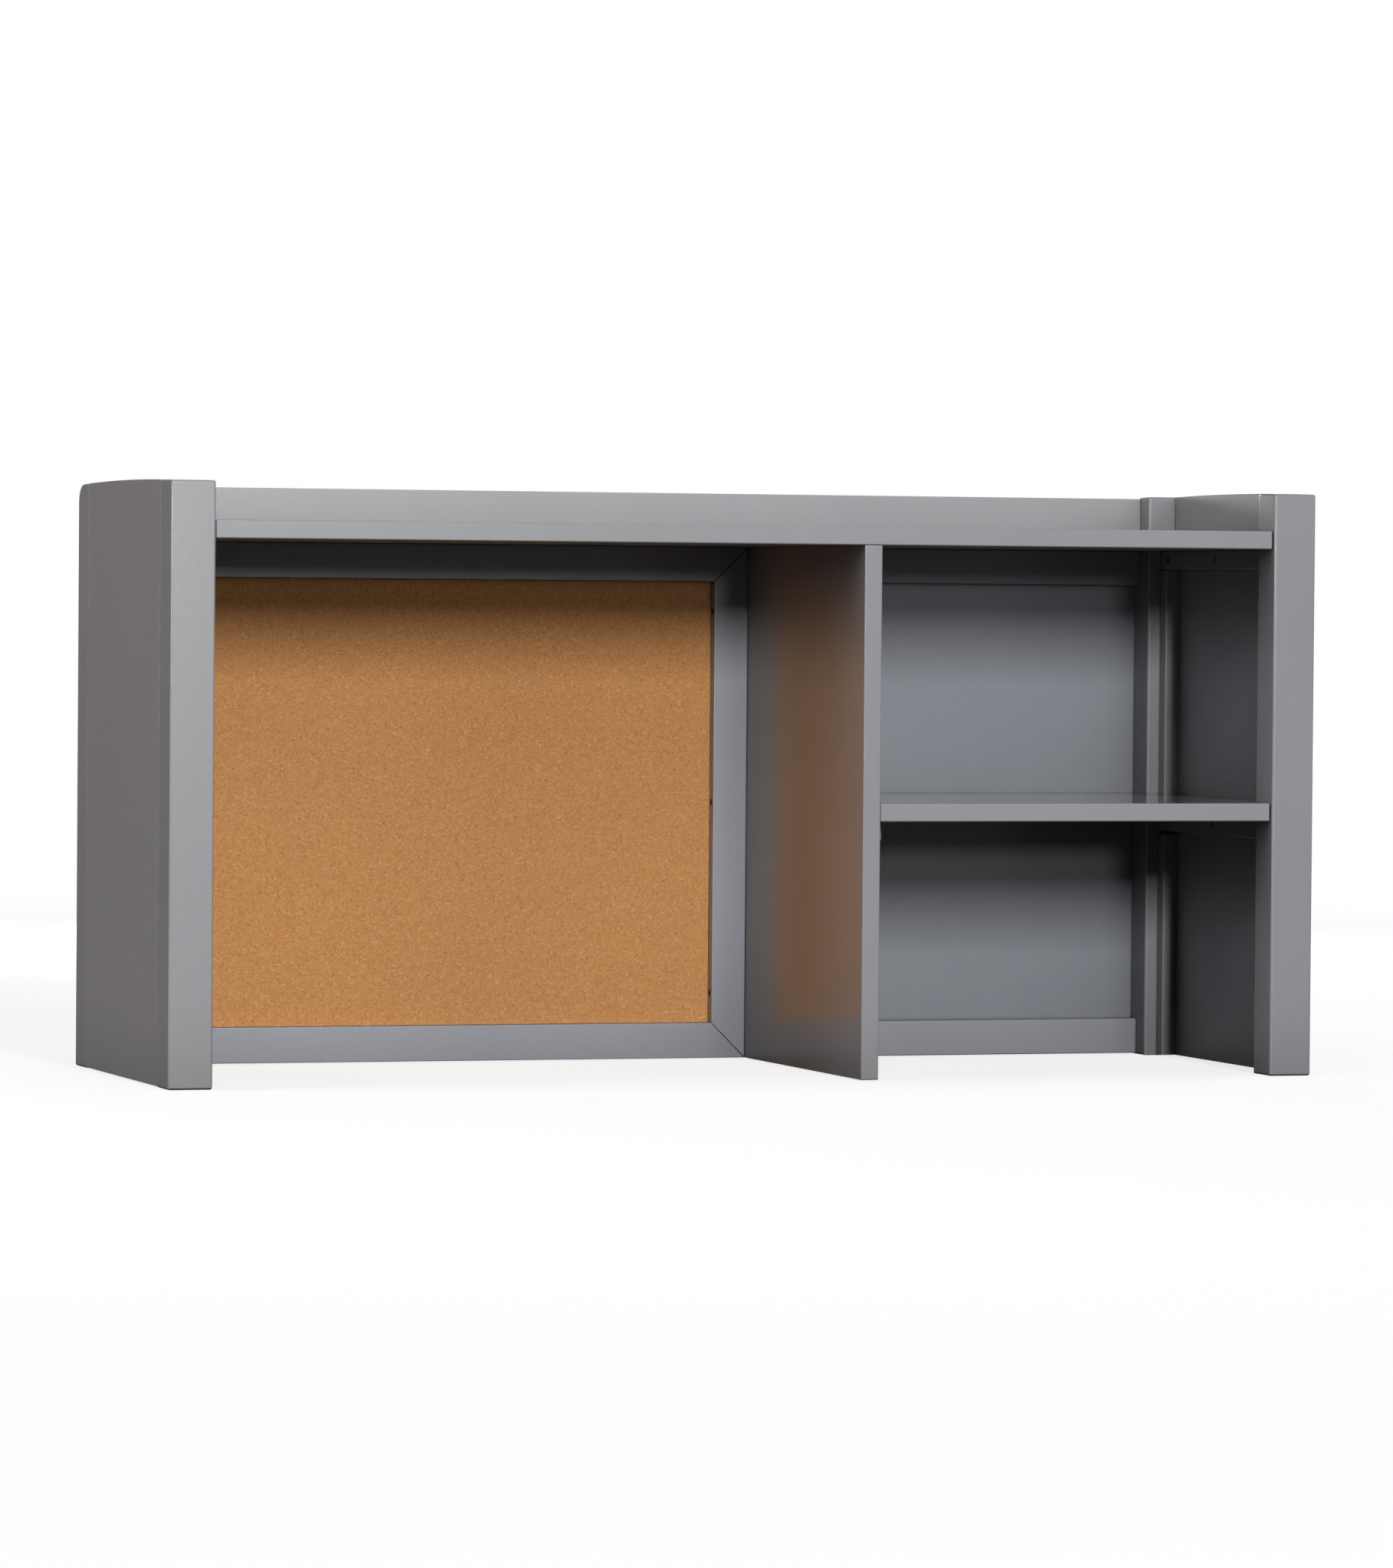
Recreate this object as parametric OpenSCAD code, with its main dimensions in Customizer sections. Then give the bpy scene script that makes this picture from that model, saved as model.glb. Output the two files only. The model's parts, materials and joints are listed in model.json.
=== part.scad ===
// Desk hutch: two post-and-panel sides, a top shelf with a gallery rail behind it, a divider,
// a wide bay with a framed cork board and a narrow bay with one middle shelf.
// X runs to the right, +Y to the back and Z up. The origin is on the desk plane, midway between
// the sides and midway between the posts' front and rear faces. All sizes are millimetres.

/* [View] */
// Which piece is drawn

/* [Overall] */
// Width over both sides
hutch_w = 1140; // [900:1:1600]
// Depth over front and rear posts
hutch_d = 376; // [280:1:450]
// Height of the posts at their front and rear corners
hutch_h = 564; // [480:1:760]
// How far the top of each side rises at mid depth
arch_rise = 2.2; // [1:0.1:8]

/* [Sides] */
// Width and depth of a square corner post
post = 42.5; // [36:0.5:60]
// Thickness of a side panel
side_t = 14.5; // [12:0.5:20]
// Gap under the side panels
panel_gap = 1; // [1:0.5:6]
// Radius of the top rear corner of each side
rear_corner_r = 18; // [6:1:30]

/* [Boards] */
// Thickness of the shelves and the divider
board_t = 17.5; // [15:0.5:25]
// Height of the gallery behind the top shelf
gallery_h = 36; // [30:1:80]
// Clear width of the narrow bay
narrow_bay_w = 401; // [260:1:520]
// Height of the middle shelf's underside
middle_shelf_z = 247; // [180:1:330]
// Width of the rails and of the cork frame
rail_h = 35; // [30:1:60]
// Thickness of the rails and of the cork frame
rail_t = 15; // [10:0.5:18]
// Thickness of the back panel
back_t = 4; // [3:0.5:6]
// Thickness of the cork sheet
cork_t = 3; // [2:0.5:6]

/* [Fastenings] */
// Height of a shelf cleat
cleat_h = 19; // [16:1:30]
// Thickness of a shelf cleat and size of a corner cleat
cleat_t = 15; // [13:0.5:18]
// Outer diameter of a threaded insert
insert_d = 10; // [9:0.5:12]
// Length of a threaded insert
insert_l = 15; // [12:1:25]

/* [Hidden] */
$fn = 48;
fit = 0.15;                // clearance beside a seated piece
edge_r = 2.2;              // eased edges of posts and boards
foot_r = 3.2;              // eased feet of the posts
shelf_r = 1.4;             // eased front edges of shelves and divider
shelf_recess = 4;          // shelf fronts behind the post fronts
divider_recess = 3;        // divider front behind the post fronts
notch_gap = 1.2;           // clearance round the posts in a shelf's notches
base_gap = 1;              // clearance under rails, divider and back
joint_v = 0.6;             // fine V where a panel meets a post
shadow_gap = 1.2;          // slit beside a panel on the inside
shadow_d = 3.5;            // depth of that slit
shadow_stop = 12;          // the slit ends this far below the top
tongue_t = 6;              // panel tongue thickness
tongue_l = 8;              // panel tongue length
screw_r = 2;               // wood screw shank
screw_head_r = 3.5;        // countersunk head
screw_head_h = 2.6;
back_screw_r = 1.6;
back_screw_head_r = 3.2;
back_screw_head_h = 1.8;
dowel_r = 3;               // rail dowels
shelf_dowel_r = 4;         // dowels between divider and top shelf
dowel_half = 12;           // how far a dowel reaches to each side of its joint
dowel_inset = 10;          // dowels in from a rail's long edges
insert_bore_r = 2.5;       // M6 tapping size
panel_bite = 10;           // how far screws reach into a side panel
divider_bite = 12;         // into the divider
post_bite = 14;            // into a post
shelf_bite = 12;           // up into a shelf
back_bite = 9;             // through the back panel into what is behind it
cleat_screw_inset = 20;    // a cleat's outer screws in from its ends
shelf_screw_inset = 55;    // the screws that go up through a cleat, in from its ends
back_screw_inset = 40;     // the back panel's outer screws in from the posts
shelf_dowel_inset = 55;    // dowels in from the divider's front and rear edges
cutter_lead = 1;           // how far a cutter starts in front of the face it cuts

x_out = hutch_w / 2;                       // outer faces
x_post = x_out - post;                     // inner faces of the posts
x_panel = x_out - side_t;                  // inner faces of the side panels
y_front = -hutch_d / 2;
y_rear = hutch_d / 2;
y_back = y_rear - back_t;                  // front of the back panel
y_rail = y_back - rail_t;                  // front of the rails and the cork frame
y_panel = hutch_d / 2 - post;              // half the space between front and rear posts
z_top = hutch_h - gallery_h;               // upper face of the top shelf
z_under = z_top - board_t;                 // underside of the top shelf
z_mid = middle_shelf_z + board_t;          // upper face of the middle shelf
x_div1 = x_post - narrow_bay_w;            // right face of the divider
x_div0 = x_div1 - board_t;                 // left face of the divider
x_div = (x_div0 + x_div1) / 2;             // middle of the divider's thickness
arch_r = (pow(hutch_d / 2, 2) + pow(arch_rise, 2)) / (2 * arch_rise);
rebate = 8;                                // width of the back panel's seat in the rear posts
groove_top = hutch_h - 18;                 // stopped end of the panel groove
cleat_z = z_under - cleat_h;               // underside of the top cleats
mid_cleat_z = middle_shelf_z - cleat_h;    // underside of the middle cleats
frame_x = (x_div0 - x_post) / 2;           // middle of the wide bay
frame_w = x_div0 + x_post;                 // width of the cork frame
frame_z = base_gap;
frame_top = z_under;
cork_w = frame_w - 2 * rail_h;
cork_h = frame_top - frame_z - 2 * rail_h;
frame_screw_pitch = cork_h * 0.433;        // spacing of the screws in a stile
frame_screw_y = y_rail + rail_t * 0.45;

// ---- drawing helpers ----

// height of a side's arched top, given the distance from its front or rear face
function arch_z(a) = hutch_h + arch_rise * (1 - pow(1 - a / (hutch_d / 2), 2));

// carries a drawing in Y and Z along X, from x0 to x1
module along_x(x0, x1) {
    translate([x0, 0, 0]) rotate([90, 0, 90]) linear_extrude(height = x1 - x0) children();
}

// carries a drawing in X and Z along Y, from y0 to y1
module along_y(y0, y1) {
    translate([0, y1, 0]) rotate([90, 0, 0]) linear_extrude(height = y1 - y0) children();
}

// the waste outside a rounded corner whose tip is at the origin
module corner_waste(r) {
    difference() {
        translate([-r, -r]) square(r + 1);
        translate([-r, -r]) circle(r);
    }
}

// a rectangle with its own radius at each corner, counted round from the low left one
module plate(x0, y0, x1, y1, radii) {
    difference() {
        translate([x0, y0]) square([x1 - x0, y1 - y0]);
        if (radii[0] > 0) translate([x0, y0]) rotate(180) corner_waste(radii[0]);
        if (radii[1] > 0) translate([x1, y0]) rotate(-90) corner_waste(radii[1]);
        if (radii[2] > 0) translate([x1, y1]) corner_waste(radii[2]);
        if (radii[3] > 0) translate([x0, y1]) rotate(90) corner_waste(radii[3]);
    }
}

module block(x0, y0, z0, x1, y1, z1) {
    translate([x0, y0, z0]) cube([x1 - x0, y1 - y0, z1 - z0]);
}

module left_side() { mirror([1, 0, 0]) children(); }

// ---- fastenings, drawn from the head's face at the origin along +Z ----

module countersunk(shank_r, head_r, head_h, length, extra) {
    cylinder(h = head_h, r1 = head_r + extra, r2 = shank_r + extra);
    cylinder(h = length + extra, r = shank_r + extra);
}

// the hole for such a screw, which opens in front of the face as well
module countersunk_hole(shank_r, head_r, head_h, length) {
    countersunk(shank_r, head_r, head_h, length, fit);
    translate([0, 0, -cutter_lead]) cylinder(h = cutter_lead + 0.01, r = head_r + fit);
}

module wood_screw(length) {
    difference() {
        countersunk(screw_r, screw_head_r, screw_head_h, length, 0);
        for (turn = [0, 90]) rotate(turn) translate([-2, -0.4, -1]) cube([4, 0.8, 2.2]);
    }
}

module wood_screw_hole(length) { countersunk_hole(screw_r, screw_head_r, screw_head_h, length); }

module back_screw() {
    difference() {
        countersunk(back_screw_r, back_screw_head_r, back_screw_head_h, back_t + back_bite, 0);
        for (turn = [0, 90]) rotate(turn) translate([-1.6, -0.35, -1]) cube([3.2, 0.7, 2]);
    }
}

module back_screw_hole() {
    countersunk_hole(back_screw_r, back_screw_head_r, back_screw_head_h, back_t + back_bite);
}

// where the screws of a cleat stand along Y
cleat_screw_y = [-y_panel + cleat_screw_inset, 0, y_panel - cleat_screw_inset];
shelf_screw_y = [-y_panel + shelf_screw_inset, y_panel - shelf_screw_inset];

// screws that go out through a cleat on the right-hand side, heads inward
module at_cleat_screws(z) {
    for (y = cleat_screw_y)
        translate([x_panel - cleat_t, y, z + cleat_h / 2]) rotate([0, 90, 0]) children();
}

// screws that go through the divider's cleat, heads to the right
module at_divider_cleat_screws() {
    for (y = cleat_screw_y)
        translate([x_div1 + cleat_t, y, mid_cleat_z + cleat_h / 2]) rotate([0, -90, 0]) children();
}

// screws that go up through a cleat into a shelf
module at_shelf_screws(x, z) {
    for (y = shelf_screw_y) translate([x, y, z]) children();
}

frame_screw_z = [for (i = [-1:1]) frame_z + rail_h + cork_h / 2 + i * frame_screw_pitch];

// screws through the cork frame's stiles, heads on the edges that face the cork
module at_frame_screws_right() {
    for (z = frame_screw_z)
        translate([x_div0 - rail_h, frame_screw_y, z]) rotate([0, 90, 0]) children();
}

module at_frame_screws_left() {
    for (z = frame_screw_z)
        translate([-x_post + rail_h, frame_screw_y, z]) rotate([0, -90, 0]) children();
}

// screws that hold the back panel, heads on its rear face
back_row_w = 2 * (x_post - back_screw_inset);
back_row_x = [for (i = [0:5]) (i / 5 - 0.5) * back_row_w];
back_column_z = [hutch_h * 0.25, hutch_h * 0.5, hutch_h * 0.75];

module at_back_screws() {
    for (x = back_row_x, z = [frame_z + rail_h / 2, z_top + rail_h / 2])
        translate([x, y_rear, z]) rotate([90, 0, 0]) children();
    for (z = back_column_z, x = [-x_post - rebate / 2, x_div, x_post + rebate / 2])
        translate([x, y_rear, z]) rotate([90, 0, 0]) children();
}

// dowels at the ends of the gallery rail and of the narrow bay's rails
module at_rail_dowels() {
    for (x = [-x_post, x_post]) for (dz = [dowel_inset, rail_h - dowel_inset])
        translate([x, y_rail + rail_t / 2, z_top + dz]) rotate([0, 90, 0]) children();
    for (x = [x_div1, x_post], z = [frame_z, z_under - rail_h])
        for (dz = [dowel_inset, rail_h - dowel_inset])
            translate([x, y_rail + rail_t / 2, z + dz]) rotate([0, 90, 0]) children();
}

module dowel_peg(r, half, extra) {
    translate([0, 0, -half - extra]) cylinder(h = 2 * (half + extra), r = r + extra);
}

// dowels that stand in the divider's top edge
module at_shelf_dowels() {
    for (y = [y_front + shelf_dowel_inset, 0, y_rear - shelf_dowel_inset])
        translate([x_div, y, z_under]) children();
}

// ---- sides ----

// outline of a side in Y and Z: arched top, eased front corner, round rear corner, eased feet
module side_outline() {
    difference() {
        intersection() {
            translate([y_front, 0]) square([hutch_d, hutch_h + arch_rise + 1]);
            translate([0, hutch_h + arch_rise - arch_r]) circle(arch_r, $fn = 1440);
        }
        translate([y_rear, arch_z(rear_corner_r)]) corner_waste(rear_corner_r);
        translate([y_front, arch_z(edge_r)]) rotate(90) corner_waste(edge_r);
        translate([y_front, 0]) rotate(180) corner_waste(foot_r);
        translate([y_rear, 0]) rotate(-90) corner_waste(foot_r);
    }
}

// a post on the right-hand side, before its joints are cut
module post_blank(y0, radii) {
    intersection() {
        linear_extrude(height = hutch_h + arch_rise + 1) plate(x_post, y0, x_out, y0 + post, radii);
        along_x(x_post - 1, x_out + 1) side_outline();
        along_y(y0 - 1, y0 + post + 1)
            plate(x_post, 0, x_out, arch_z(post), [foot_r, foot_r, edge_r + 1, edge_r + 1]);
    }
}

// the groove that takes a panel's tongue, cut into a post face at y
module panel_groove(y0, y1) {
    block(x_out - side_t / 2 - tongue_t / 2 - fit, y0, -1,
        x_out - side_t / 2 + tongue_t / 2 + fit, y1, groove_top);
}

// the seat of a threaded insert, in the foot of a post
module insert_seat(y) {
    translate([x_out - post / 2, y, -1]) cylinder(h = insert_l + 1 + 2, r = insert_d / 2 + fit);
}

module front_post() {
    difference() {
        post_blank(y_front, [edge_r, edge_r, joint_v, edge_r]);
        panel_groove(-y_panel - tongue_l - 0.5, -y_panel + 1);
        insert_seat(y_front + post / 2);
    }
}

module rear_post() {
    difference() {
        post_blank(y_panel, [edge_r, joint_v, edge_r, joint_v]);
        panel_groove(y_panel - 1, y_panel + tongue_l + 0.5);
        insert_seat(y_rear - post / 2);
        block(x_post - 1, y_back - fit, -1, x_post + rebate + fit, y_rear + 1, z_top + rail_h + fit);
    }
}

module post_front_right() { color("lightslategray") front_post(); }
module post_front_left() {
    color("lightslategray") left_side() front_post();
}
module post_rear_right() {
    color("lightslategray") difference() {
        rear_post();
        at_rail_dowels() dowel_peg(dowel_r, dowel_half, fit);
        at_back_screws() back_screw_hole();
    }
}
module post_rear_left() {
    color("lightslategray") difference() {
        left_side() rear_post();
        at_rail_dowels() dowel_peg(dowel_r, dowel_half, fit);
        at_back_screws() back_screw_hole();
        at_frame_screws_left() wood_screw_hole(rail_h + post_bite);
    }
}

// plan of a side panel: flush outside, tongues in both posts, a fine V at each outer joint
module panel_plan() {
    middle = x_out - side_t / 2;
    difference() {
        union() {
            translate([x_panel, -y_panel]) square([side_t, 2 * y_panel]);
            translate([middle - tongue_t / 2, -y_panel - tongue_l])
                square([tongue_t, 2 * (y_panel + tongue_l)]);
        }
        for (s = [-1, 1])
            translate([x_out, s * y_panel]) rotate(45) square(joint_v * sqrt(2), center = true);
    }
}

module side_panel() {
    stop = hutch_h - shadow_stop;
    difference() {
        intersection() {
            linear_extrude(height = hutch_h + arch_rise + 1) panel_plan();
            along_x(x_panel - 1, x_out + 1) side_outline();
            block(0, -y_rear, panel_gap, x_out + 1, y_rear, hutch_h + arch_rise + 1);
        }
        for (s = [-1, 1]) {
            block(x_panel - 1, s * y_panel - shadow_gap, -1,
                x_panel + shadow_d, s * y_panel + shadow_gap, stop);
            translate([0, s * (y_panel + 10), 0])
                block(0, -10, groove_top - 1, x_out + 1, 10, hutch_h + arch_rise + 1);
        }
    }
}

module side_panel_right() {
    color("slategray") difference() {
        side_panel();
        at_cleat_screws(cleat_z) wood_screw_hole(cleat_t + panel_bite);
        at_cleat_screws(mid_cleat_z) wood_screw_hole(cleat_t + panel_bite);
    }
}
module side_panel_left() {
    color("slategray") left_side() difference() {
        side_panel();
        at_cleat_screws(cleat_z) wood_screw_hole(cleat_t + panel_bite);
    }
}

// ---- shelves and divider ----

// plan of the top shelf, notched round all four posts
module top_shelf_plan() {
    reach = y_back - fit;
    wing = x_panel - fit;
    half = x_post - notch_gap;
    plate(-half, y_front + shelf_recess, half, reach, [shelf_r, shelf_r, 0, 0]);
    translate([-wing, -y_panel + notch_gap]) square([2 * wing, 2 * (y_panel - notch_gap)]);
}

// section of a shelf in Y and Z, with eased front edges
module shelf_section(z) {
    plate(y_front + shelf_recess, z, y_rear + 1, z + board_t, [shelf_r, 0, 0, shelf_r]);
}

module top_shelf() {
    color("lightslategray") difference() {
        intersection() {
            translate([0, 0, z_under - 1]) linear_extrude(height = board_t + 2) top_shelf_plan();
            along_x(-x_out, x_out) shelf_section(z_under);
        }
        at_shelf_dowels() dowel_peg(shelf_dowel_r, dowel_half, fit);
        for (s = [-1, 1])
            at_shelf_screws(s * (x_panel - cleat_t / 2), cleat_z) wood_screw_hole(cleat_h + shelf_bite);
    }
}

// plan of the middle shelf: notched round the two right-hand posts
module middle_shelf_plan() {
    wing = x_panel - fit;
    plate(x_div1 + fit, y_front + shelf_recess, x_post - notch_gap, y_back - fit,
        [shelf_r, shelf_r, 0, 0]);
    translate([x_div1 + fit, -y_panel + notch_gap])
        square([wing - x_div1 - fit, 2 * (y_panel - notch_gap)]);
}

module middle_shelf() {
    color("lightslategray") difference() {
        intersection() {
            translate([0, 0, middle_shelf_z - 1])
                linear_extrude(height = board_t + 2) middle_shelf_plan();
            along_x(0, x_out) shelf_section(middle_shelf_z);
        }
        at_shelf_screws(x_panel - cleat_t / 2, mid_cleat_z) wood_screw_hole(cleat_h + shelf_bite);
        at_shelf_screws(x_div1 + cleat_t / 2, mid_cleat_z) wood_screw_hole(cleat_h + shelf_bite);
    }
}

module divider() {
    y0 = y_front + divider_recess;
    color("lightslategray") difference() {
        intersection() {
            translate([0, 0, base_gap]) linear_extrude(height = z_under - base_gap)
                plate(x_div0, y0, x_div1, y_back - fit, [shelf_r, shelf_r, 0, 0]);
            along_x(x_div0 - 1, x_div1 + 1)
                plate(y0, base_gap, y_back, z_under, [shelf_r, 0, 0, 0]);
        }
        at_shelf_dowels() dowel_peg(shelf_dowel_r, dowel_half, fit);
        at_rail_dowels() dowel_peg(dowel_r, dowel_half, fit);
        at_frame_screws_right() wood_screw_hole(rail_h + divider_bite);
        at_divider_cleat_screws() wood_screw_hole(cleat_t + divider_bite);
        at_back_screws() back_screw_hole();
    }
}

// ---- back ----

// a rail between x0 and x1 with an eased front, standing on z
module rail(x0, x1, z) {
    along_x(x0, x1) plate(y_rail, z, y_back, z + rail_h, [1, 0, 0, 1]);
}

module gallery_rail() {
    color("lightslategray") difference() {
        rail(-x_post, x_post, z_top);
        at_rail_dowels() dowel_peg(dowel_r, dowel_half, fit);
        at_back_screws() back_screw_hole();
    }
}

module bay_rail_top() {
    color("lightslategray") difference() {
        rail(x_div1, x_post, z_under - rail_h);
        at_rail_dowels() dowel_peg(dowel_r, dowel_half, fit);
    }
}

module bay_rail_bottom() {
    color("lightslategray") difference() {
        rail(x_div1, x_post, frame_z);
        at_rail_dowels() dowel_peg(dowel_r, dowel_half, fit);
        at_back_screws() back_screw_hole();
    }
}

module back_panel() {
    edge = x_post + rebate;
    color("gray") difference() {
        block(-edge, y_back, base_gap, edge, y_rear - fit, z_top + rail_h);
        at_back_screws() back_screw_hole();
    }
}

// ---- cork board ----

// a member of the mitred frame, lying along X with its outer edge on the X axis
module mitred_member(length) {
    gap = fit;
    polygon([[gap * 1.5, 0], [length - gap * 1.5, 0],
        [length - rail_h - gap * 1.5, rail_h], [rail_h + gap * 1.5, rail_h]]);
}

module frame_rail_bottom() {
    color("lightslategray") difference() {
        along_y(y_rail, y_back) translate([-x_post, frame_z]) mitred_member(frame_w);
        at_back_screws() back_screw_hole();
    }
}
module frame_rail_top() {
    color("lightslategray") along_y(y_rail, y_back)
        translate([x_div0, frame_top]) rotate(180) mitred_member(frame_w);
}
module frame_stile_right() {
    color("lightslategray") difference() {
        along_y(y_rail, y_back)
            translate([x_div0, frame_z]) rotate(90) mitred_member(frame_top - frame_z);
        at_frame_screws_right() wood_screw_hole(rail_h + divider_bite);
        at_back_screws() back_screw_hole();
    }
}
module frame_stile_left() {
    color("lightslategray") difference() {
        along_y(y_rail, y_back)
            translate([-x_post, frame_top]) rotate(-90) mitred_member(frame_top - frame_z);
        at_frame_screws_left() wood_screw_hole(rail_h + post_bite);
        at_back_screws() back_screw_hole();
    }
}

module cork_sheet() {
    color("peru") block(frame_x - cork_w / 2 + fit, y_back - cork_t, frame_z + rail_h + fit,
        frame_x + cork_w / 2 - fit, y_back, frame_top - rail_h - fit);
}

// ---- cleats ----

// a shelf cleat on the right-hand panel, between the posts
module side_cleat(z) {
    difference() {
        along_y(-y_panel + fit, y_panel - fit)
            plate(x_panel - cleat_t, z, x_panel, z + cleat_h, [1, 0, 0, 1]);
        at_cleat_screws(z) wood_screw_hole(cleat_t + panel_bite);
        at_shelf_screws(x_panel - cleat_t / 2, z) wood_screw_hole(cleat_h + shelf_bite);
    }
}

module top_cleat_right() { color("dimgray") side_cleat(cleat_z); }
module top_cleat_left() { color("dimgray") left_side() side_cleat(cleat_z); }
module middle_cleat_side() { color("dimgray") side_cleat(mid_cleat_z); }
module middle_cleat_divider() {
    color("dimgray") difference() {
        along_y(-y_panel + fit, y_panel - fit)
            plate(x_div1, mid_cleat_z, x_div1 + cleat_t, mid_cleat_z + cleat_h, [0, 1, 1, 0]);
        at_divider_cleat_screws() wood_screw_hole(cleat_t + divider_bite);
        at_shelf_screws(x_div1 + cleat_t / 2, mid_cleat_z) wood_screw_hole(cleat_h + shelf_bite);
    }
}

// an upright cleat in the corner between the right-hand panel and the rear post
module corner_cleat(z0, z1) {
    intersection() {
        translate([0, 0, z0]) linear_extrude(height = z1 - z0)
            plate(x_panel - cleat_t, y_panel - cleat_t, x_panel, y_panel, [1.5, 0, 0, 0]);
        along_y(0, y_rear) plate(x_panel - cleat_t, z0, x_panel, z1, [0, 0, 2, 2]);
    }
}

module corner_cleat_upper() { color("dimgray") corner_cleat(z_mid, cleat_z); }
module corner_cleat_lower() { color("dimgray") corner_cleat(panel_gap, mid_cleat_z - 4); }
module corner_cleat_left() { color("dimgray") left_side() corner_cleat(panel_gap, cleat_z); }

// ---- fastenings ----

module frame_screws() {
    color("#202020") {
        at_frame_screws_right() wood_screw(rail_h + divider_bite);
        at_frame_screws_left() wood_screw(rail_h + post_bite);
    }
}

module cleat_screws() {
    color("#303030") {
        at_cleat_screws(cleat_z) wood_screw(cleat_t + panel_bite);
        left_side() at_cleat_screws(cleat_z) wood_screw(cleat_t + panel_bite);
        at_cleat_screws(mid_cleat_z) wood_screw(cleat_t + panel_bite);
        at_divider_cleat_screws() wood_screw(cleat_t + divider_bite);
    }
}

module shelf_screws() {
    color("#303030") {
        for (s = [-1, 1])
            at_shelf_screws(s * (x_panel - cleat_t / 2), cleat_z) wood_screw(cleat_h + shelf_bite);
        at_shelf_screws(x_panel - cleat_t / 2, mid_cleat_z) wood_screw(cleat_h + shelf_bite);
        at_shelf_screws(x_div1 + cleat_t / 2, mid_cleat_z) wood_screw(cleat_h + shelf_bite);
    }
}

module back_screws() { color("silver") at_back_screws() back_screw(); }
module rail_dowels() { color("burlywood") at_rail_dowels() dowel_peg(dowel_r, dowel_half, 0); }
module shelf_dowels() {
    color("burlywood") at_shelf_dowels() dowel_peg(shelf_dowel_r, dowel_half, 0);
}

// threaded inserts in the posts' feet, where bolts come up through the desk top
module desk_inserts() {
    color("goldenrod") for (x = [-1, 1], y = [-1, 1])
        translate([x * (x_out - post / 2), y * (hutch_d / 2 - post / 2), 0.4]) difference() {
            union() {
                cylinder(h = insert_l, r = insert_d / 2 - 0.8);
                cylinder(h = 1.6, r = insert_d / 2);
                for (i = [1:4])
                    translate([0, 0, 1 + i * insert_l / 5.5]) cylinder(h = 1.2, r = insert_d / 2);
            }
            translate([0, 0, -1]) cylinder(h = insert_l + 2, r = insert_bore_r);
        }
}

post_front_left();
post_front_right();
post_rear_left();
post_rear_right();
side_panel_left();
side_panel_right();
top_shelf();
middle_shelf();
divider();
gallery_rail();
back_panel();
bay_rail_top();
bay_rail_bottom();
frame_rail_top();
frame_rail_bottom();
frame_stile_left();
frame_stile_right();
cork_sheet();
top_cleat_left();
top_cleat_right();
middle_cleat_side();
middle_cleat_divider();
corner_cleat_left();
corner_cleat_lower();
corner_cleat_upper();
frame_screws();
cleat_screws();
shelf_screws();
back_screws();
rail_dowels();
shelf_dowels();
desk_inserts();
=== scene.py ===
import json
import math

import bmesh
import bpy
from mathutils import Matrix, Vector

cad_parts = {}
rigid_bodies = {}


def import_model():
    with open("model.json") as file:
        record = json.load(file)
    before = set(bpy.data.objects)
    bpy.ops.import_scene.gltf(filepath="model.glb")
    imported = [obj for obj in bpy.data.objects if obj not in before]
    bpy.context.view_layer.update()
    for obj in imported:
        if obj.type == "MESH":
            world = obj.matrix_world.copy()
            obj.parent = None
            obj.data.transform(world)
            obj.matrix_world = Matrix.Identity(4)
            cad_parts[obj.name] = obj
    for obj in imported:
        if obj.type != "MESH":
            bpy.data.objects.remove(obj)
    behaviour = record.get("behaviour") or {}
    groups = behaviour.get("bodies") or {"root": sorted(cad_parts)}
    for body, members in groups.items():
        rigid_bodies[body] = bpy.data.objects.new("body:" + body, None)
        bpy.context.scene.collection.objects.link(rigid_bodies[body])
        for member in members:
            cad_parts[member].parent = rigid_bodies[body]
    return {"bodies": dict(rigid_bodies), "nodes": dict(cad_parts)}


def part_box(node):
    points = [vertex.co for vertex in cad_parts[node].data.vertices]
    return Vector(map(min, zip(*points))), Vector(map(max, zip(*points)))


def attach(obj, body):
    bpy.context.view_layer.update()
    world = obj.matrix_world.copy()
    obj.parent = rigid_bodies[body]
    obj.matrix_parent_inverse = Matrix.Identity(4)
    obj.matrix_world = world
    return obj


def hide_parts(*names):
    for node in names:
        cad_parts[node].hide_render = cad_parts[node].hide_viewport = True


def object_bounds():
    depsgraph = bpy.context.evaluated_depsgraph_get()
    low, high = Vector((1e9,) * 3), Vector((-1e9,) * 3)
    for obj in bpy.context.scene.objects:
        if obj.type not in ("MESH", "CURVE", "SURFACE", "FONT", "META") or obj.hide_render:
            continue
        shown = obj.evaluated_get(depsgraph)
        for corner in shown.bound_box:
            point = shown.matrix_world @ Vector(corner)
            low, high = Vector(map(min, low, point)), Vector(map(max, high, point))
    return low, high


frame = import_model()
cadLow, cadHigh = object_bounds()
print("loaded", len(frame["nodes"]), "nodes")

scene = bpy.context.scene
bodyName = list(frame["bodies"])[0]
mm = 0.001


cameraSetup = {
    "place": (-2.2051, -6.8213, 0.4544),
    "turn": 17.928,        # degrees to the right of straight ahead
    "tilt": 1.406,         # degrees below the horizon
    "roll": 0.461,
    "lens": 169.56,        # millimetres
    "sensor": 36,          # millimetres along the picture's taller side
    "nearest": 0.1,        # metres from the camera within which things are seen
    "farthest": 200,
}


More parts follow.
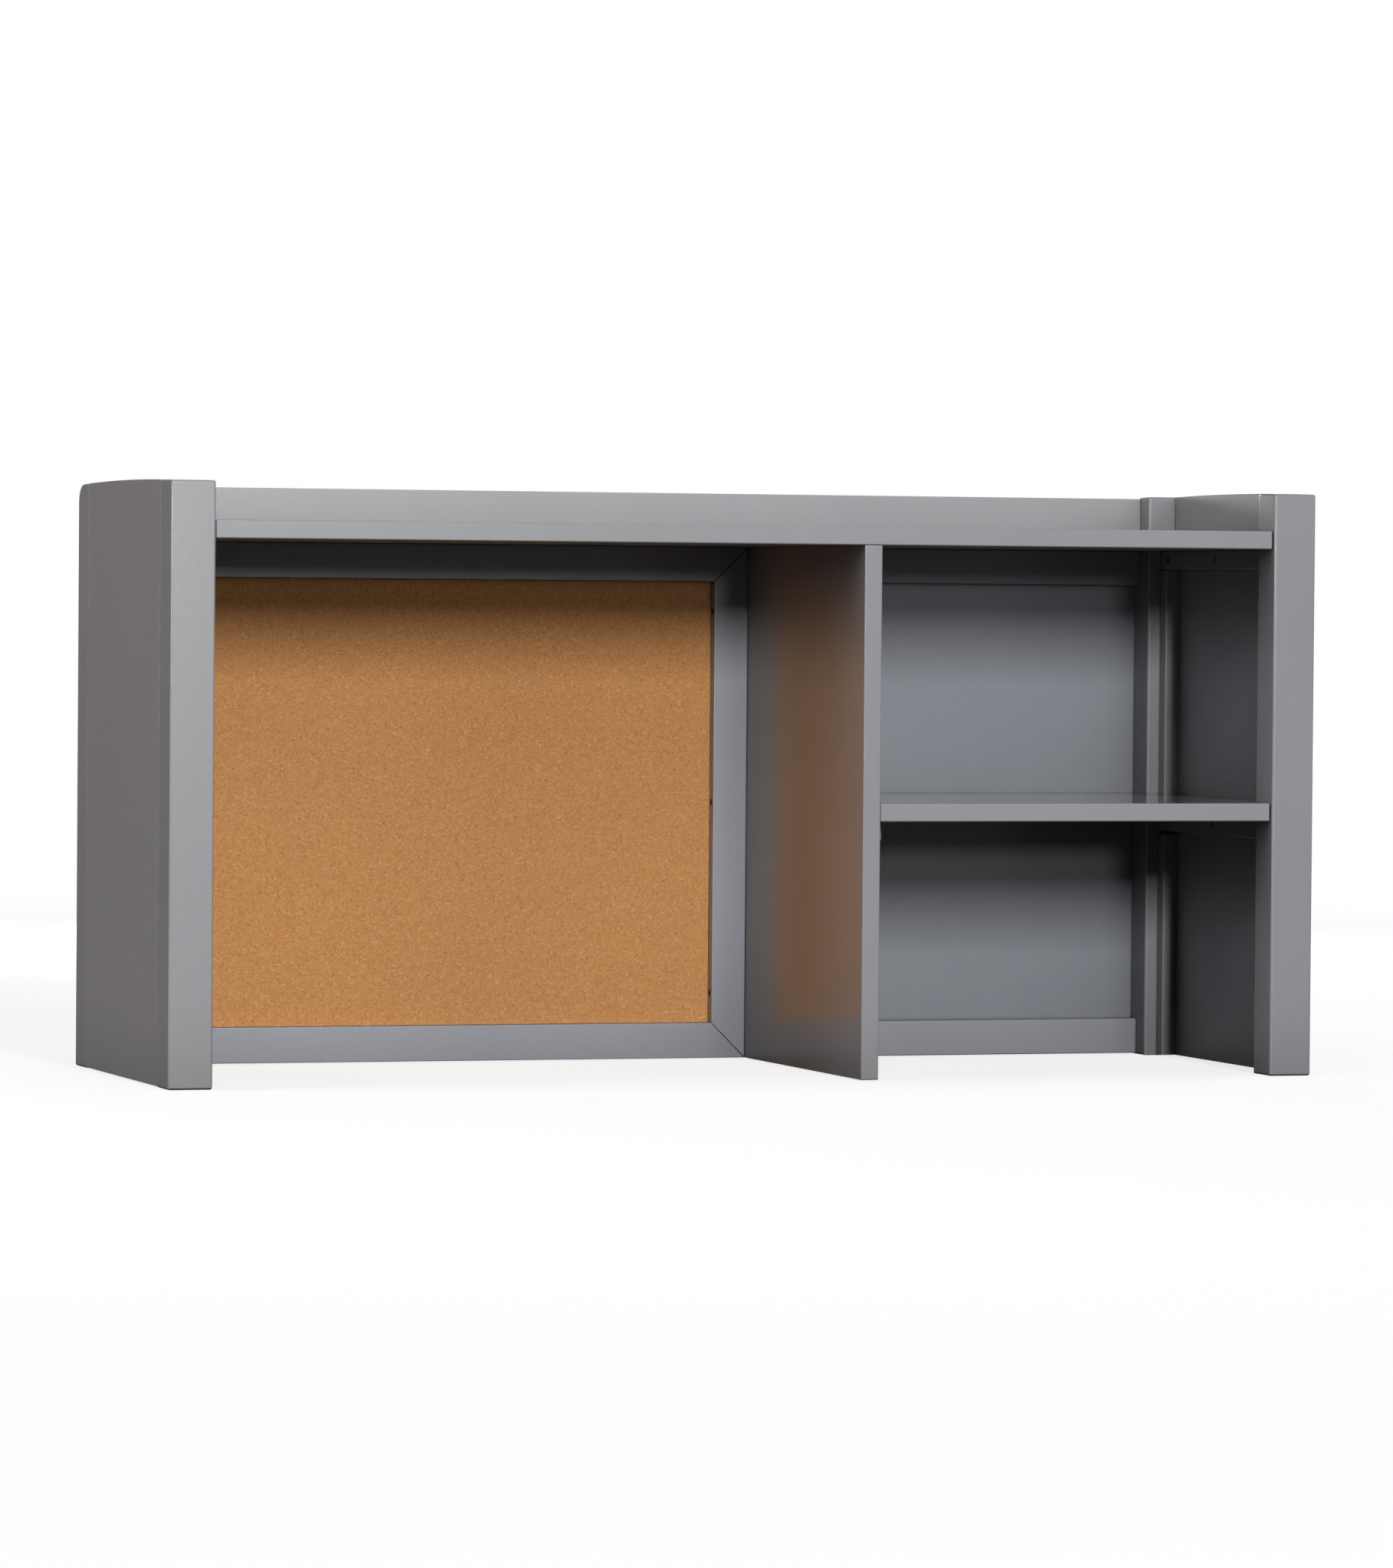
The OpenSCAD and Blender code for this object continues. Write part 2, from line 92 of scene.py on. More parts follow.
def makeCamera(setup):
    data = bpy.data.cameras.new("camera")
    data.lens = setup["lens"]
    data.sensor_width = setup["sensor"]
    data.clip_start = setup["nearest"]
    data.clip_end = setup["farthest"]
    camera = bpy.data.objects.new("camera", data)
    scene.collection.objects.link(camera)
    camera.location = setup["place"]
    upright = Matrix.Rotation(math.radians(-setup["turn"]), 4, "Z")
    tilted = Matrix.Rotation(math.radians(90 - setup["tilt"]), 4, "X")
    rolled = Matrix.Rotation(math.radians(setup["roll"]), 4, "Z")
    camera.rotation_euler = (upright @ tilted @ rolled).to_euler()
    scene.camera = camera


makeCamera(cameraSetup)


def newMaterial(name):
    material = bpy.data.materials.new(name)
    material.use_nodes = True
    material.node_tree.nodes.clear()
    return material


def addNode(tree, kind, place, **settings):
    node = tree.nodes.new(kind)
    node.location = place
    for name, value in settings.items():
        setattr(node, name, value)
    return node


def setSockets(node, values):
    for name, value in values.items():
        node.inputs[name].default_value = value


def grey(value):
    return (value, value, value, 1)


studio = {
    "floorSize": 160,
    "floorDrop": 0.3 * mm,     # keeps the floor clear of the posts' feet
    "floorGlow": 0.77,         # part of the floor's paleness that lamps don't change
    "floorPale": 0.30,         # the part that takes light and shadow
    "floorBounce": 0.09,       # what the floor gives back to the object
    "floorNear": 1.0,          # metres from the object where the floor begins to fade
    "floorFar": 4.5,           # and where it is as bright as the backdrop
    "backdrop": 1.0,           # seen brightness, where 1 is white
    "ambient": 0.02,           # light that comes from all round
    "airColour": (0.97, 0.985, 1.0, 1),
    "reflectionShare": 0.07,   # how much of the backdrop's brightness reflections show
}


def addBackdropMask(tree, place, share):
    # 1 where the backdrop is seen directly or through glass, and the share where it is
    # seen in a reflection
    x, y = place
    path = addNode(tree, "ShaderNodeLightPath", (x, y))
    glossy = addNode(tree, "ShaderNodeMath", (x + 200, y - 100), operation="MULTIPLY")
    glossy.inputs[1].default_value = share
    direct = addNode(tree, "ShaderNodeMath", (x + 200, y + 100), operation="MAXIMUM")
    both = addNode(tree, "ShaderNodeMath", (x + 400, y), operation="MAXIMUM")
    tree.links.new(path.outputs["Is Glossy Ray"], glossy.inputs[0])
    tree.links.new(path.outputs["Is Camera Ray"], direct.inputs[0])
    tree.links.new(path.outputs["Is Transmission Ray"], direct.inputs[1])
    tree.links.new(direct.outputs[0], both.inputs[0])
    tree.links.new(glossy.outputs[0], both.inputs[1])
    return both.outputs[0]


def makeWorld(setup):
    world = bpy.data.worlds.new("studioAir")
    world.use_nodes = True
    tree = world.node_tree
    tree.nodes.clear()
    mask = addBackdropMask(tree, (-800, 100), setup["reflectionShare"])
    air = addNode(tree, "ShaderNodeBackground", (0, 100))
    setSockets(air, {"Color": setup["airColour"], "Strength": setup["ambient"]})
    wall = addNode(tree, "ShaderNodeBackground", (0, -100))
    setSockets(wall, {"Color": grey(1.0), "Strength": setup["backdrop"]})
    mix = addNode(tree, "ShaderNodeMixShader", (250, 0))
    out = addNode(tree, "ShaderNodeOutputWorld", (450, 0))
    tree.links.new(mask, mix.inputs[0])
    tree.links.new(air.outputs[0], mix.inputs[1])
    tree.links.new(wall.outputs[0], mix.inputs[2])
    tree.links.new(mix.outputs[0], out.inputs[0])
    scene.world = world


def makeFloor(setup):
    bpy.ops.mesh.primitive_plane_add(size=setup["floorSize"], location=(0, 0, -setup["floorDrop"]))
    floor = bpy.context.object
    floor.name = "floor"
    material = newMaterial("paleFloor")
    tree = material.node_tree
    mask = addBackdropMask(tree, (-800, 100), setup["reflectionShare"])
    bounce = addNode(tree, "ShaderNodeBsdfDiffuse", (0, 200))
    setSockets(bounce, {"Color": grey(setup["floorBounce"])})
    pale = addNode(tree, "ShaderNodeBsdfDiffuse", (0, 0))
    setSockets(pale, {"Color": grey(setup["floorPale"])})
    glow = addNode(tree, "ShaderNodeEmission", (0, -200))
    setSockets(glow, {"Strength": setup["floorGlow"]})
    near = addNode(tree, "ShaderNodeAddShader", (200, -100))
    far = addNode(tree, "ShaderNodeEmission", (200, -250))
    setSockets(far, {"Strength": setup["backdrop"]})
    coords = addNode(tree, "ShaderNodeTexCoord", (-600, -400))
    distance = addNode(tree, "ShaderNodeVectorMath", (-400, -400), operation="LENGTH")
    fade = addNode(tree, "ShaderNodeMapRange", (-200, -400), interpolation_type="SMOOTHSTEP")
    setSockets(fade, {"From Min": setup["floorNear"], "From Max": setup["floorFar"]})
    seen = addNode(tree, "ShaderNodeMixShader", (400, -150))
    mix = addNode(tree, "ShaderNodeMixShader", (600, 0))
    out = addNode(tree, "ShaderNodeOutputMaterial", (800, 0))
    tree.links.new(coords.outputs["Object"], distance.inputs[0])
    tree.links.new(distance.outputs["Value"], fade.inputs["Value"])
    tree.links.new(pale.outputs[0], near.inputs[0])
    tree.links.new(glow.outputs[0], near.inputs[1])
    tree.links.new(fade.outputs["Result"], seen.inputs[0])
    tree.links.new(near.outputs[0], seen.inputs[1])
    tree.links.new(far.outputs[0], seen.inputs[2])
    tree.links.new(mask, mix.inputs[0])
    tree.links.new(bounce.outputs[0], mix.inputs[1])
    tree.links.new(seen.outputs[0], mix.inputs[2])
    tree.links.new(mix.outputs[0], out.inputs[0])
    floor.data.materials.append(material)


# The key lamp is far, high and narrow, and casts the shadows under the shelves. The sheen
# lamp is low and gives the front faces their gleam, which fades to the right. The others
# fill the top, the sides and the back.
lamps = {
    # name: place, aimed at, width, height, power, colour
    "keyLamp": ((-0.2, -12.0, 3.67), (0.0, 0.0, 0.3), 0.5, 2.4, 1030, (1.0, 1.0, 1.0)),
    "sheenLamp": ((1.1, -12.0, 1.6), (0.0, 0.0, 0.3), 0.8, 0.6, 119, (1.0, 1.0, 1.0)),
    "highLamp": ((-0.5, -2.4, 2.1), (0.0, 0.0, 0.3), 0.8, 0.8, 11, (1.0, 1.0, 1.0)),
    "topLamp": ((0.0, -0.3, 2.6), (0.0, 0.0, 0.3), 2.0, 1.4, 8, (1.0, 1.0, 1.0)),
    "rightFrontLamp": ((4.0, -4.4, 1.9), (0.0, 0.0, 0.3), 1.0, 1.0, 30, (1.0, 1.0, 1.0)),
    "rightLamp": ((3.0, 0.3, 1.2), (0.5, 0.0, 0.3), 1.4, 1.2, 26, (1.0, 1.0, 1.0)),
    "leftFrontLamp": ((-2.8, -2.0, 1.2), (0.0, 0.0, 0.3), 1.0, 1.2, 2, (1.0, 1.0, 1.0)),
    "leftLamp": ((-3.0, -0.2, 1.2), (0.0, 0.0, 0.3), 1.4, 1.2, 45, (1.0, 0.91, 0.90)),
    "edgeLamp": ((-3.2, -1.3, 0.62), (0.0, -0.2, 0.5), 1.0, 0.12, 25, (1.0, 1.0, 1.0)),
    "backLamp": ((0.6, 3.2, 0.55), (0.0, 0.2, 0.3), 1.6, 0.8, 50, (1.0, 1.0, 1.0)),
}


def makeLamp(name, place, aim, width, height, power, colour):
    data = bpy.data.lights.new(name, "AREA")
    data.shape = "RECTANGLE"
    data.size = width
    data.size_y = height
    data.energy = power
    data.color = colour
    lamp = bpy.data.objects.new(name, data)
    lamp.visible_camera = False
    scene.collection.objects.link(lamp)
    lamp.location = place
    way = Vector(aim) - Vector(place)
    lamp.rotation_euler = way.to_track_quat("-Z", "Y").to_euler()


makeWorld(studio)
makeFloor(studio)
for lampName, lampValues in lamps.items():
    makeLamp(lampName, *lampValues)
scene.objects["edgeLamp"].visible_diffuse = False   # it only draws highlights along the edges
for lampName in ("leftLamp", "rightLamp"):
    scene.objects[lampName].visible_glossy = False   # these leave no glare on the shelf tops
scene.view_settings.view_transform = "Standard"
print("camera, floor and lights made")


colourSocket = "NodeSocketColor"
numberSocket = "NodeSocketFloat"
vectorSocket = "NodeSocketVector"


def newGroup(name, inputs, outputs):
    group = bpy.data.node_groups.new(name, "ShaderNodeTree")
    for socketName, kind, value in inputs:
        socket = group.interface.new_socket(name=socketName, in_out="INPUT", socket_type=kind)
        socket.default_value = value
    for socketName, kind in outputs:
        group.interface.new_socket(name=socketName, in_out="OUTPUT", socket_type=kind)
    start = addNode(group, "NodeGroupInput", (-900, 0))
    end = addNode(group, "NodeGroupOutput", (900, 0))
    return group, start, end


def placeGroup(tree, group, place, values):
    node = addNode(tree, "ShaderNodeGroup", place)
    node.node_tree = group
    setSockets(node, values)
    return node


def makeToneGroup():
    # slow changes of tone over a surface: a colour made lighter and darker by a soft cloud
    inputs = [("Colour", colourSocket, grey(0.5)), ("Scale", numberSocket, 5.0),
              ("Amount", numberSocket, 0.05)]
    group, start, end = newGroup("slowTone", inputs, [("Colour", colourSocket),
                                                      ("Cloud", numberSocket)])
    coords = addNode(group, "ShaderNodeTexCoord", (-900, -250))
    cloud = addNode(group, "ShaderNodeTexNoise", (-650, -100))
    setSockets(cloud, {"Detail": 4.0, "Roughness": 0.55})
    centred = addNode(group, "ShaderNodeMath", (-400, -100), operation="SUBTRACT")
    centred.inputs[1].default_value = 0.5
    spread = addNode(group, "ShaderNodeMath", (-200, -100), operation="MULTIPLY")
    around = addNode(group, "ShaderNodeMath", (0, -100), operation="ADD")
    around.inputs[1].default_value = 1.0
    tone = addNode(group, "ShaderNodeVectorMath", (250, 50), operation="SCALE")
    link = group.links.new
    link(coords.outputs["Object"], cloud.inputs["Vector"])
    link(start.outputs["Scale"], cloud.inputs["Scale"])
    link(cloud.outputs["Fac"], centred.inputs[0])
    link(centred.outputs[0], spread.inputs[0])
    link(start.outputs["Amount"], spread.inputs[1])
    link(spread.outputs[0], around.inputs[0])
    link(start.outputs["Colour"], tone.inputs[0])
    link(around.outputs[0], tone.inputs["Scale"])
    link(tone.outputs[0], end.inputs["Colour"])
    link(cloud.outputs["Fac"], end.inputs["Cloud"])
    return group


def makeEdgeGroup():
    # the thin, lighter line on an eased edge: partly thinner finish there, partly a painted
    # highlight
    inputs = [("Colour", colourSocket, grey(0.5)), ("Edge Colour", colourSocket, grey(0.6)),
              ("Amount", numberSocket, 0.3)]
    group, start, end = newGroup("edgeTone", inputs, [("Colour", colourSocket)])
    form = addNode(group, "ShaderNodeNewGeometry", (-900, -300))
    sharp = addNode(group, "ShaderNodeMapRange", (-600, -200))
    setSockets(sharp, {"From Min": 0.52, "From Max": 0.62})   # 0.5 is a flat face
    coords = addNode(group, "ShaderNodeTexCoord", (-900, -550))
    broken = addNode(group, "ShaderNodeTexNoise", (-600, -500))
    setSockets(broken, {"Scale": 90.0, "Detail": 3.0})
    uneven = addNode(group, "ShaderNodeMapRange", (-350, -450))
    setSockets(uneven, {"From Min": 0.3, "From Max": 0.7, "To Min": 0.4, "To Max": 1.0})
    rough = addNode(group, "ShaderNodeMath", (-150, -250), operation="MULTIPLY")
    mask = addNode(group, "ShaderNodeMath", (50, -200), operation="MULTIPLY")
    mix = addNode(group, "ShaderNodeMix", (350, 0), data_type="RGBA")
    link = group.links.new
    link(form.outputs["Pointiness"], sharp.inputs["Value"])
    link(coords.outputs["Object"], broken.inputs["Vector"])
    link(broken.outputs["Fac"], uneven.inputs["Value"])
    link(sharp.outputs["Result"], rough.inputs[0])
    link(uneven.outputs["Result"], rough.inputs[1])
    link(rough.outputs[0], mask.inputs[0])
    link(start.outputs["Amount"], mask.inputs[1])
    link(mask.outputs[0], mix.inputs["Factor"])
    link(start.outputs["Colour"], mix.inputs[6])
    link(start.outputs["Edge Colour"], mix.inputs[7])
    link(mix.outputs[2], end.inputs["Colour"])
    return group


def makeGrainGroup():
    # fine relief: long fibres under a finish, and the small ripple of the finish itself
    inputs = [("Stretch", vectorSocket, (1.0, 1.0, 0.03)), ("Fibre Scale", numberSocket, 900.0),
              ("Fibre", numberSocket, 0.3), ("Ripple Scale", numberSocket, 220.0),
              ("Ripple", numberSocket, 1.0)]
    group, start, end = newGroup("fineRelief", inputs, [("Height", numberSocket),
                                                        ("Fibre", numberSocket)])
    coords = addNode(group, "ShaderNodeTexCoord", (-900, -300))
    long = addNode(group, "ShaderNodeVectorMath", (-650, -100), operation="MULTIPLY")
    fibre = addNode(group, "ShaderNodeTexNoise", (-400, -50))
    setSockets(fibre, {"Detail": 3.0, "Roughness": 0.6})
    ripple = addNode(group, "ShaderNodeTexNoise", (-400, -350))
    setSockets(ripple, {"Detail": 2.0, "Roughness": 0.4})
    fibreHeight = addNode(group, "ShaderNodeMath", (-100, -50), operation="MULTIPLY")
    rippleHeight = addNode(group, "ShaderNodeMath", (-100, -300), operation="MULTIPLY")
    total = addNode(group, "ShaderNodeMath", (200, -150), operation="ADD")
    link = group.links.new
    link(coords.outputs["Object"], long.inputs[0])
    link(start.outputs["Stretch"], long.inputs[1])
    link(long.outputs[0], fibre.inputs["Vector"])
    link(start.outputs["Fibre Scale"], fibre.inputs["Scale"])
    link(coords.outputs["Object"], ripple.inputs["Vector"])
    link(start.outputs["Ripple Scale"], ripple.inputs["Scale"])
    link(fibre.outputs["Fac"], fibreHeight.inputs[0])
    link(start.outputs["Fibre"], fibreHeight.inputs[1])
    link(ripple.outputs["Fac"], rippleHeight.inputs[0])
    link(start.outputs["Ripple"], rippleHeight.inputs[1])
    link(fibreHeight.outputs[0], total.inputs[0])
    link(rippleHeight.outputs[0], total.inputs[1])
    link(total.outputs[0], end.inputs["Height"])
    link(fibre.outputs["Fac"], end.inputs["Fibre"])
    return group


def makeJointGroup():
    # painted shade: darkens a colour where nearby faces hem the surface in, as in the narrow lines
    # where pieces meet
    inputs = [("Colour", colourSocket, grey(0.5)), ("Reach", numberSocket, 0.004),
              ("Depth", numberSocket, 0.6)]
    group, start, end = newGroup("jointShade", inputs, [("Colour", colourSocket)])
    openness = addNode(group, "ShaderNodeAmbientOcclusion", (-650, -100), samples=6)
    closed = addNode(group, "ShaderNodeMapRange", (-400, -100))
    setSockets(closed, {"From Min": 0.25, "From Max": 0.75, "To Min": 1.0, "To Max": 0.0})
    depth = addNode(group, "ShaderNodeMath", (-150, -100), operation="MULTIPLY")
    kept = addNode(group, "ShaderNodeMath", (50, -100), operation="SUBTRACT")
    kept.inputs[0].default_value = 1.0
    tone = addNode(group, "ShaderNodeVectorMath", (300, 0), operation="SCALE")
    link = group.links.new
    link(start.outputs["Reach"], openness.inputs["Distance"])
    link(openness.outputs["AO"], closed.inputs["Value"])
    link(closed.outputs["Result"], depth.inputs[0])
    link(start.outputs["Depth"], depth.inputs[1])
    link(depth.outputs[0], kept.inputs[1])
    link(start.outputs["Colour"], tone.inputs[0])
    link(kept.outputs[0], tone.inputs["Scale"])
    link(tone.outputs[0], end.inputs["Colour"])
    return group


faceTurn = {
    # the upward part of a face's direction: 1 looks straight up, -1 straight down
    "upFrom": 0.85,            # where the change for faces that look up begins
    "upFull": 0.97,            # and where it is complete
    "downFrom": -0.05,
    "downFull": -0.35,
    "downDullness": 0.5,       # roughness that is added to faces that look down
}


def makeLevelFaceGroup():
    # faces that look down or up: how much of the coat is left, how much duller they are,
    # and the painted shade that darkens the colour of faces that look down
    inputs = [("Down", numberSocket, 0.2), ("Up", numberSocket, 0.2),
              ("Dullness", numberSocket, 0.3), ("Depth", numberSocket, 0.4)]
    group, start, end = newGroup("levelFaces", inputs, [
        ("Coat", numberSocket), ("Dullness", numberSocket), ("Under Shade", numberSocket)])
    form = addNode(group, "ShaderNodeNewGeometry", (-850, 0))
    parts = addNode(group, "ShaderNodeSeparateXYZ", (-650, 0))
    coatDown = addNode(group, "ShaderNodeMapRange", (-400, 200))
    coatUp = addNode(group, "ShaderNodeMapRange", (-400, -100))
    setSockets(coatUp, {"From Min": faceTurn["upFull"], "From Max": faceTurn["upFrom"]})
    coat = addNode(group, "ShaderNodeMath", (-100, 50), operation="MINIMUM")
    dullUp = addNode(group, "ShaderNodeMapRange", (-400, -400))
    setSockets(dullUp, {"From Min": faceTurn["upFrom"], "From Max": faceTurn["upFull"]})
    dullDown = addNode(group, "ShaderNodeMapRange", (-400, -700))
    setSockets(dullDown, {"To Min": faceTurn["downDullness"], "To Max": 0.0})
    dull = addNode(group, "ShaderNodeMath", (-100, -400), operation="MAXIMUM")
    # painted shade: the share of the colour that is kept, Depth on faces that look down and 1
    # elsewhere
    tone = addNode(group, "ShaderNodeMapRange", (-400, -1000))
    for blend in (coatDown, dullDown, tone):
        setSockets(blend, {"From Min": faceTurn["downFull"], "From Max": faceTurn["downFrom"]})
    link = group.links.new
    link(form.outputs["Normal"], parts.inputs[0])
    for blend in (coatDown, coatUp, dullUp, dullDown, tone):
        link(parts.outputs["Z"], blend.inputs["Value"])
    link(start.outputs["Down"], coatDown.inputs["To Min"])
    link(start.outputs["Up"], coatUp.inputs["To Min"])
    link(start.outputs["Dullness"], dullUp.inputs["To Max"])
    link(start.outputs["Depth"], tone.inputs["To Min"])
    link(coatDown.outputs["Result"], coat.inputs[0])
    link(coatUp.outputs["Result"], coat.inputs[1])
    link(dullUp.outputs["Result"], dull.inputs[0])
    link(dullDown.outputs["Result"], dull.inputs[1])
    link(coat.outputs[0], end.inputs["Coat"])
    link(dull.outputs[0], end.inputs["Dullness"])
    link(tone.outputs["Result"], end.inputs["Under Shade"])
    return group


slowTone = makeToneGroup()
edgeTone = makeEdgeGroup()
fineRelief = makeGrainGroup()
jointShade = makeJointGroup()
levelFaces = makeLevelFaceGroup()

paint = {
    "colour": (0.263, 0.266, 0.281, 1),
    "shadedBackColour": (0.244, 0.258, 0.292, 1),   # a darker, bluer copy of the grey for the narrow bay's rails and the back panel; its darkness is painted shade
    "litShelfColour": (0.282, 0.285, 0.300, 1),  # a lighter copy of the grey for the two shelves: painted light
    # painted light: a lighter copy of the grey for the gallery rail
    "litGalleryColour": (0.330, 0.333, 0.348, 1),
    "litFrameColour": (0.336, 0.350, 0.386, 1),  # a lighter, bluer copy of the grey for the members round the cork; its lightness is painted light
    "edgeColour": (0.36, 0.362, 0.375, 1),    # thin light line on the eased edges: partly thinner lacquer, partly painted highlight
    "edgeAmount": 0.35,
    "cloudScale": 6.0,         # slow unevenness of the tone
    "cloudAmount": 0.05,
    "gloss": 0.33,             # roughness of the satin lacquer
    "glossSpread": 0.04,
    "shine": 1.6,              # index of refraction
    "coat": 0.45,              # share of a smoother skin on top of it
    "panelCoat": 0.0,          # the same share on the side panels, which are duller
    "shelfCoat": 1.0,          # and on the shelves, which are the smoothest
    "coatGloss": 0.10,         # roughness of that skin
    "uprightCoatGloss": 0.18,  # and on the front posts, the divider and the corner cleats
    "underCoat": 0.15,         # share of the coat that is left on faces that look down
    "underShadeShare": 0.5,          # and share of their colour that is kept: painted shade on the undersides
    "topCoat": 0.1,            # share of the coat on those that look up
    "topDullness": 0.35,       # roughness that these have beside the gloss
    "jointShadeReach": 0.0035,      # metres from a joint in which the colour is darkened: painted shade
    "jointShadeDepth": 0.75,
    "bayShadeReach": 0.14,          # the same painted shade in the deep corners of the bays
    "bayShadeDepth": 0.45,
    "relief": 0.00006,         # metres of ripple
    "fibre": 0.25,             # share of the fibres in the relief
    "ripple": 1.0,             # and of the ripple
}


def makePaint(name, colour, stretch, coatShare=paint["coat"], coatGloss=paint["coatGloss"],
              underCoat=paint["underCoat"], topCoat=paint["topCoat"],
              topDullness=paint["topDullness"]):
    material = newMaterial(name)
    tree = material.node_tree
    tone = placeGroup(tree, slowTone, (-700, 200), {
        "Colour": colour, "Scale": paint["cloudScale"], "Amount": paint["cloudAmount"]})
    # partly thinner lacquer on the edges, partly a painted highlight along them
    edge = placeGroup(tree, edgeTone, (-450, 200), {
        "Edge Colour": paint["edgeColour"], "Amount": paint["edgeAmount"]})
    # painted shade: the colour darkens in the joints and, with a long reach, in the deep corners
    # of the bays
    joint = placeGroup(tree, jointShade, (-200, 250), {
        "Reach": paint["jointShadeReach"], "Depth": paint["jointShadeDepth"]})
    bay = placeGroup(tree, jointShade, (-200, 450), {
        "Reach": paint["bayShadeReach"], "Depth": paint["bayShadeDepth"]})
    relief = placeGroup(tree, fineRelief, (-700, -200), {
        "Stretch": stretch, "Fibre": paint["fibre"], "Ripple": paint["ripple"]})
    gloss = addNode(tree, "ShaderNodeMapRange", (-450, -50))
    setSockets(gloss, {"To Min": paint["gloss"] - paint["glossSpread"],
                       "To Max": paint["gloss"] + paint["glossSpread"]})
    level = placeGroup(tree, levelFaces, (-700, -450), {
        "Down": underCoat, "Up": topCoat, "Dullness": topDullness, "Depth": paint["underShadeShare"]})
    # painted shade: the colour is scaled down on faces that look down
    deep = addNode(tree, "ShaderNodeVectorMath", (0, 350), operation="SCALE")
    dull = addNode(tree, "ShaderNodeMath", (-250, -50), operation="ADD")
    coat = addNode(tree, "ShaderNodeMath", (-450, -450), operation="MULTIPLY")
    coat.inputs[1].default_value = coatShare
    bump = addNode(tree, "ShaderNodeBump", (-300, -250))
    setSockets(bump, {"Strength": 1.0, "Distance": paint["relief"]})
    shader = addNode(tree, "ShaderNodeBsdfPrincipled", (0, 100))
    setSockets(shader, {"IOR": paint["shine"], "Coat Roughness": coatGloss})
    out = addNode(tree, "ShaderNodeOutputMaterial", (300, 100))
    link = tree.links.new
    link(tone.outputs["Colour"], edge.inputs["Colour"])
    link(edge.outputs["Colour"], joint.inputs["Colour"])
    link(joint.outputs["Colour"], bay.inputs["Colour"])
    link(bay.outputs["Colour"], deep.inputs[0])
    link(level.outputs["Under Shade"], deep.inputs["Scale"])
    link(deep.outputs[0], shader.inputs["Base Color"])
    link(level.outputs["Coat"], coat.inputs[0])
    link(coat.outputs[0], shader.inputs["Coat Weight"])
    link(tone.outputs["Cloud"], gloss.inputs["Value"])
    link(gloss.outputs["Result"], dull.inputs[0])
    link(level.outputs["Dullness"], dull.inputs[1])
    link(dull.outputs[0], shader.inputs["Roughness"])
    link(relief.outputs["Height"], bump.inputs["Height"])
    link(bump.outputs["Normal"], shader.inputs["Normal"])
    link(shader.outputs[0], out.inputs[0])
    return material


cork = {
    "granuleScale": 800.0,     # granules per metre
    "chipScale": 420.0,        # larger chips per metre
    "bend": 1.2 * mm,          # how far the granules' outlines wander
    "bendScale": 350.0,
    "chipDark": (0.93, 0.92, 0.91, 1),
    "chipLight": (1.05, 1.05, 1.05, 1),
    "light": (0.68, 0.37, 0.168, 1),
    "body": (0.565, 0.265, 0.094, 1),
    "dark": (0.44, 0.190, 0.060, 1),
    "steps": ((0.04, "dark"), (0.10, "body"), (0.80, "body")),   # places between dark and light
    "cloudScale": 9.0,         # slow unevenness of the tone
    "cloudAmount": 0.08,
    "relief": 0.0005,
    "reliefShare": 0.7,
    "roughness": 0.85,
    "shine": 0.25,             # specular level
}


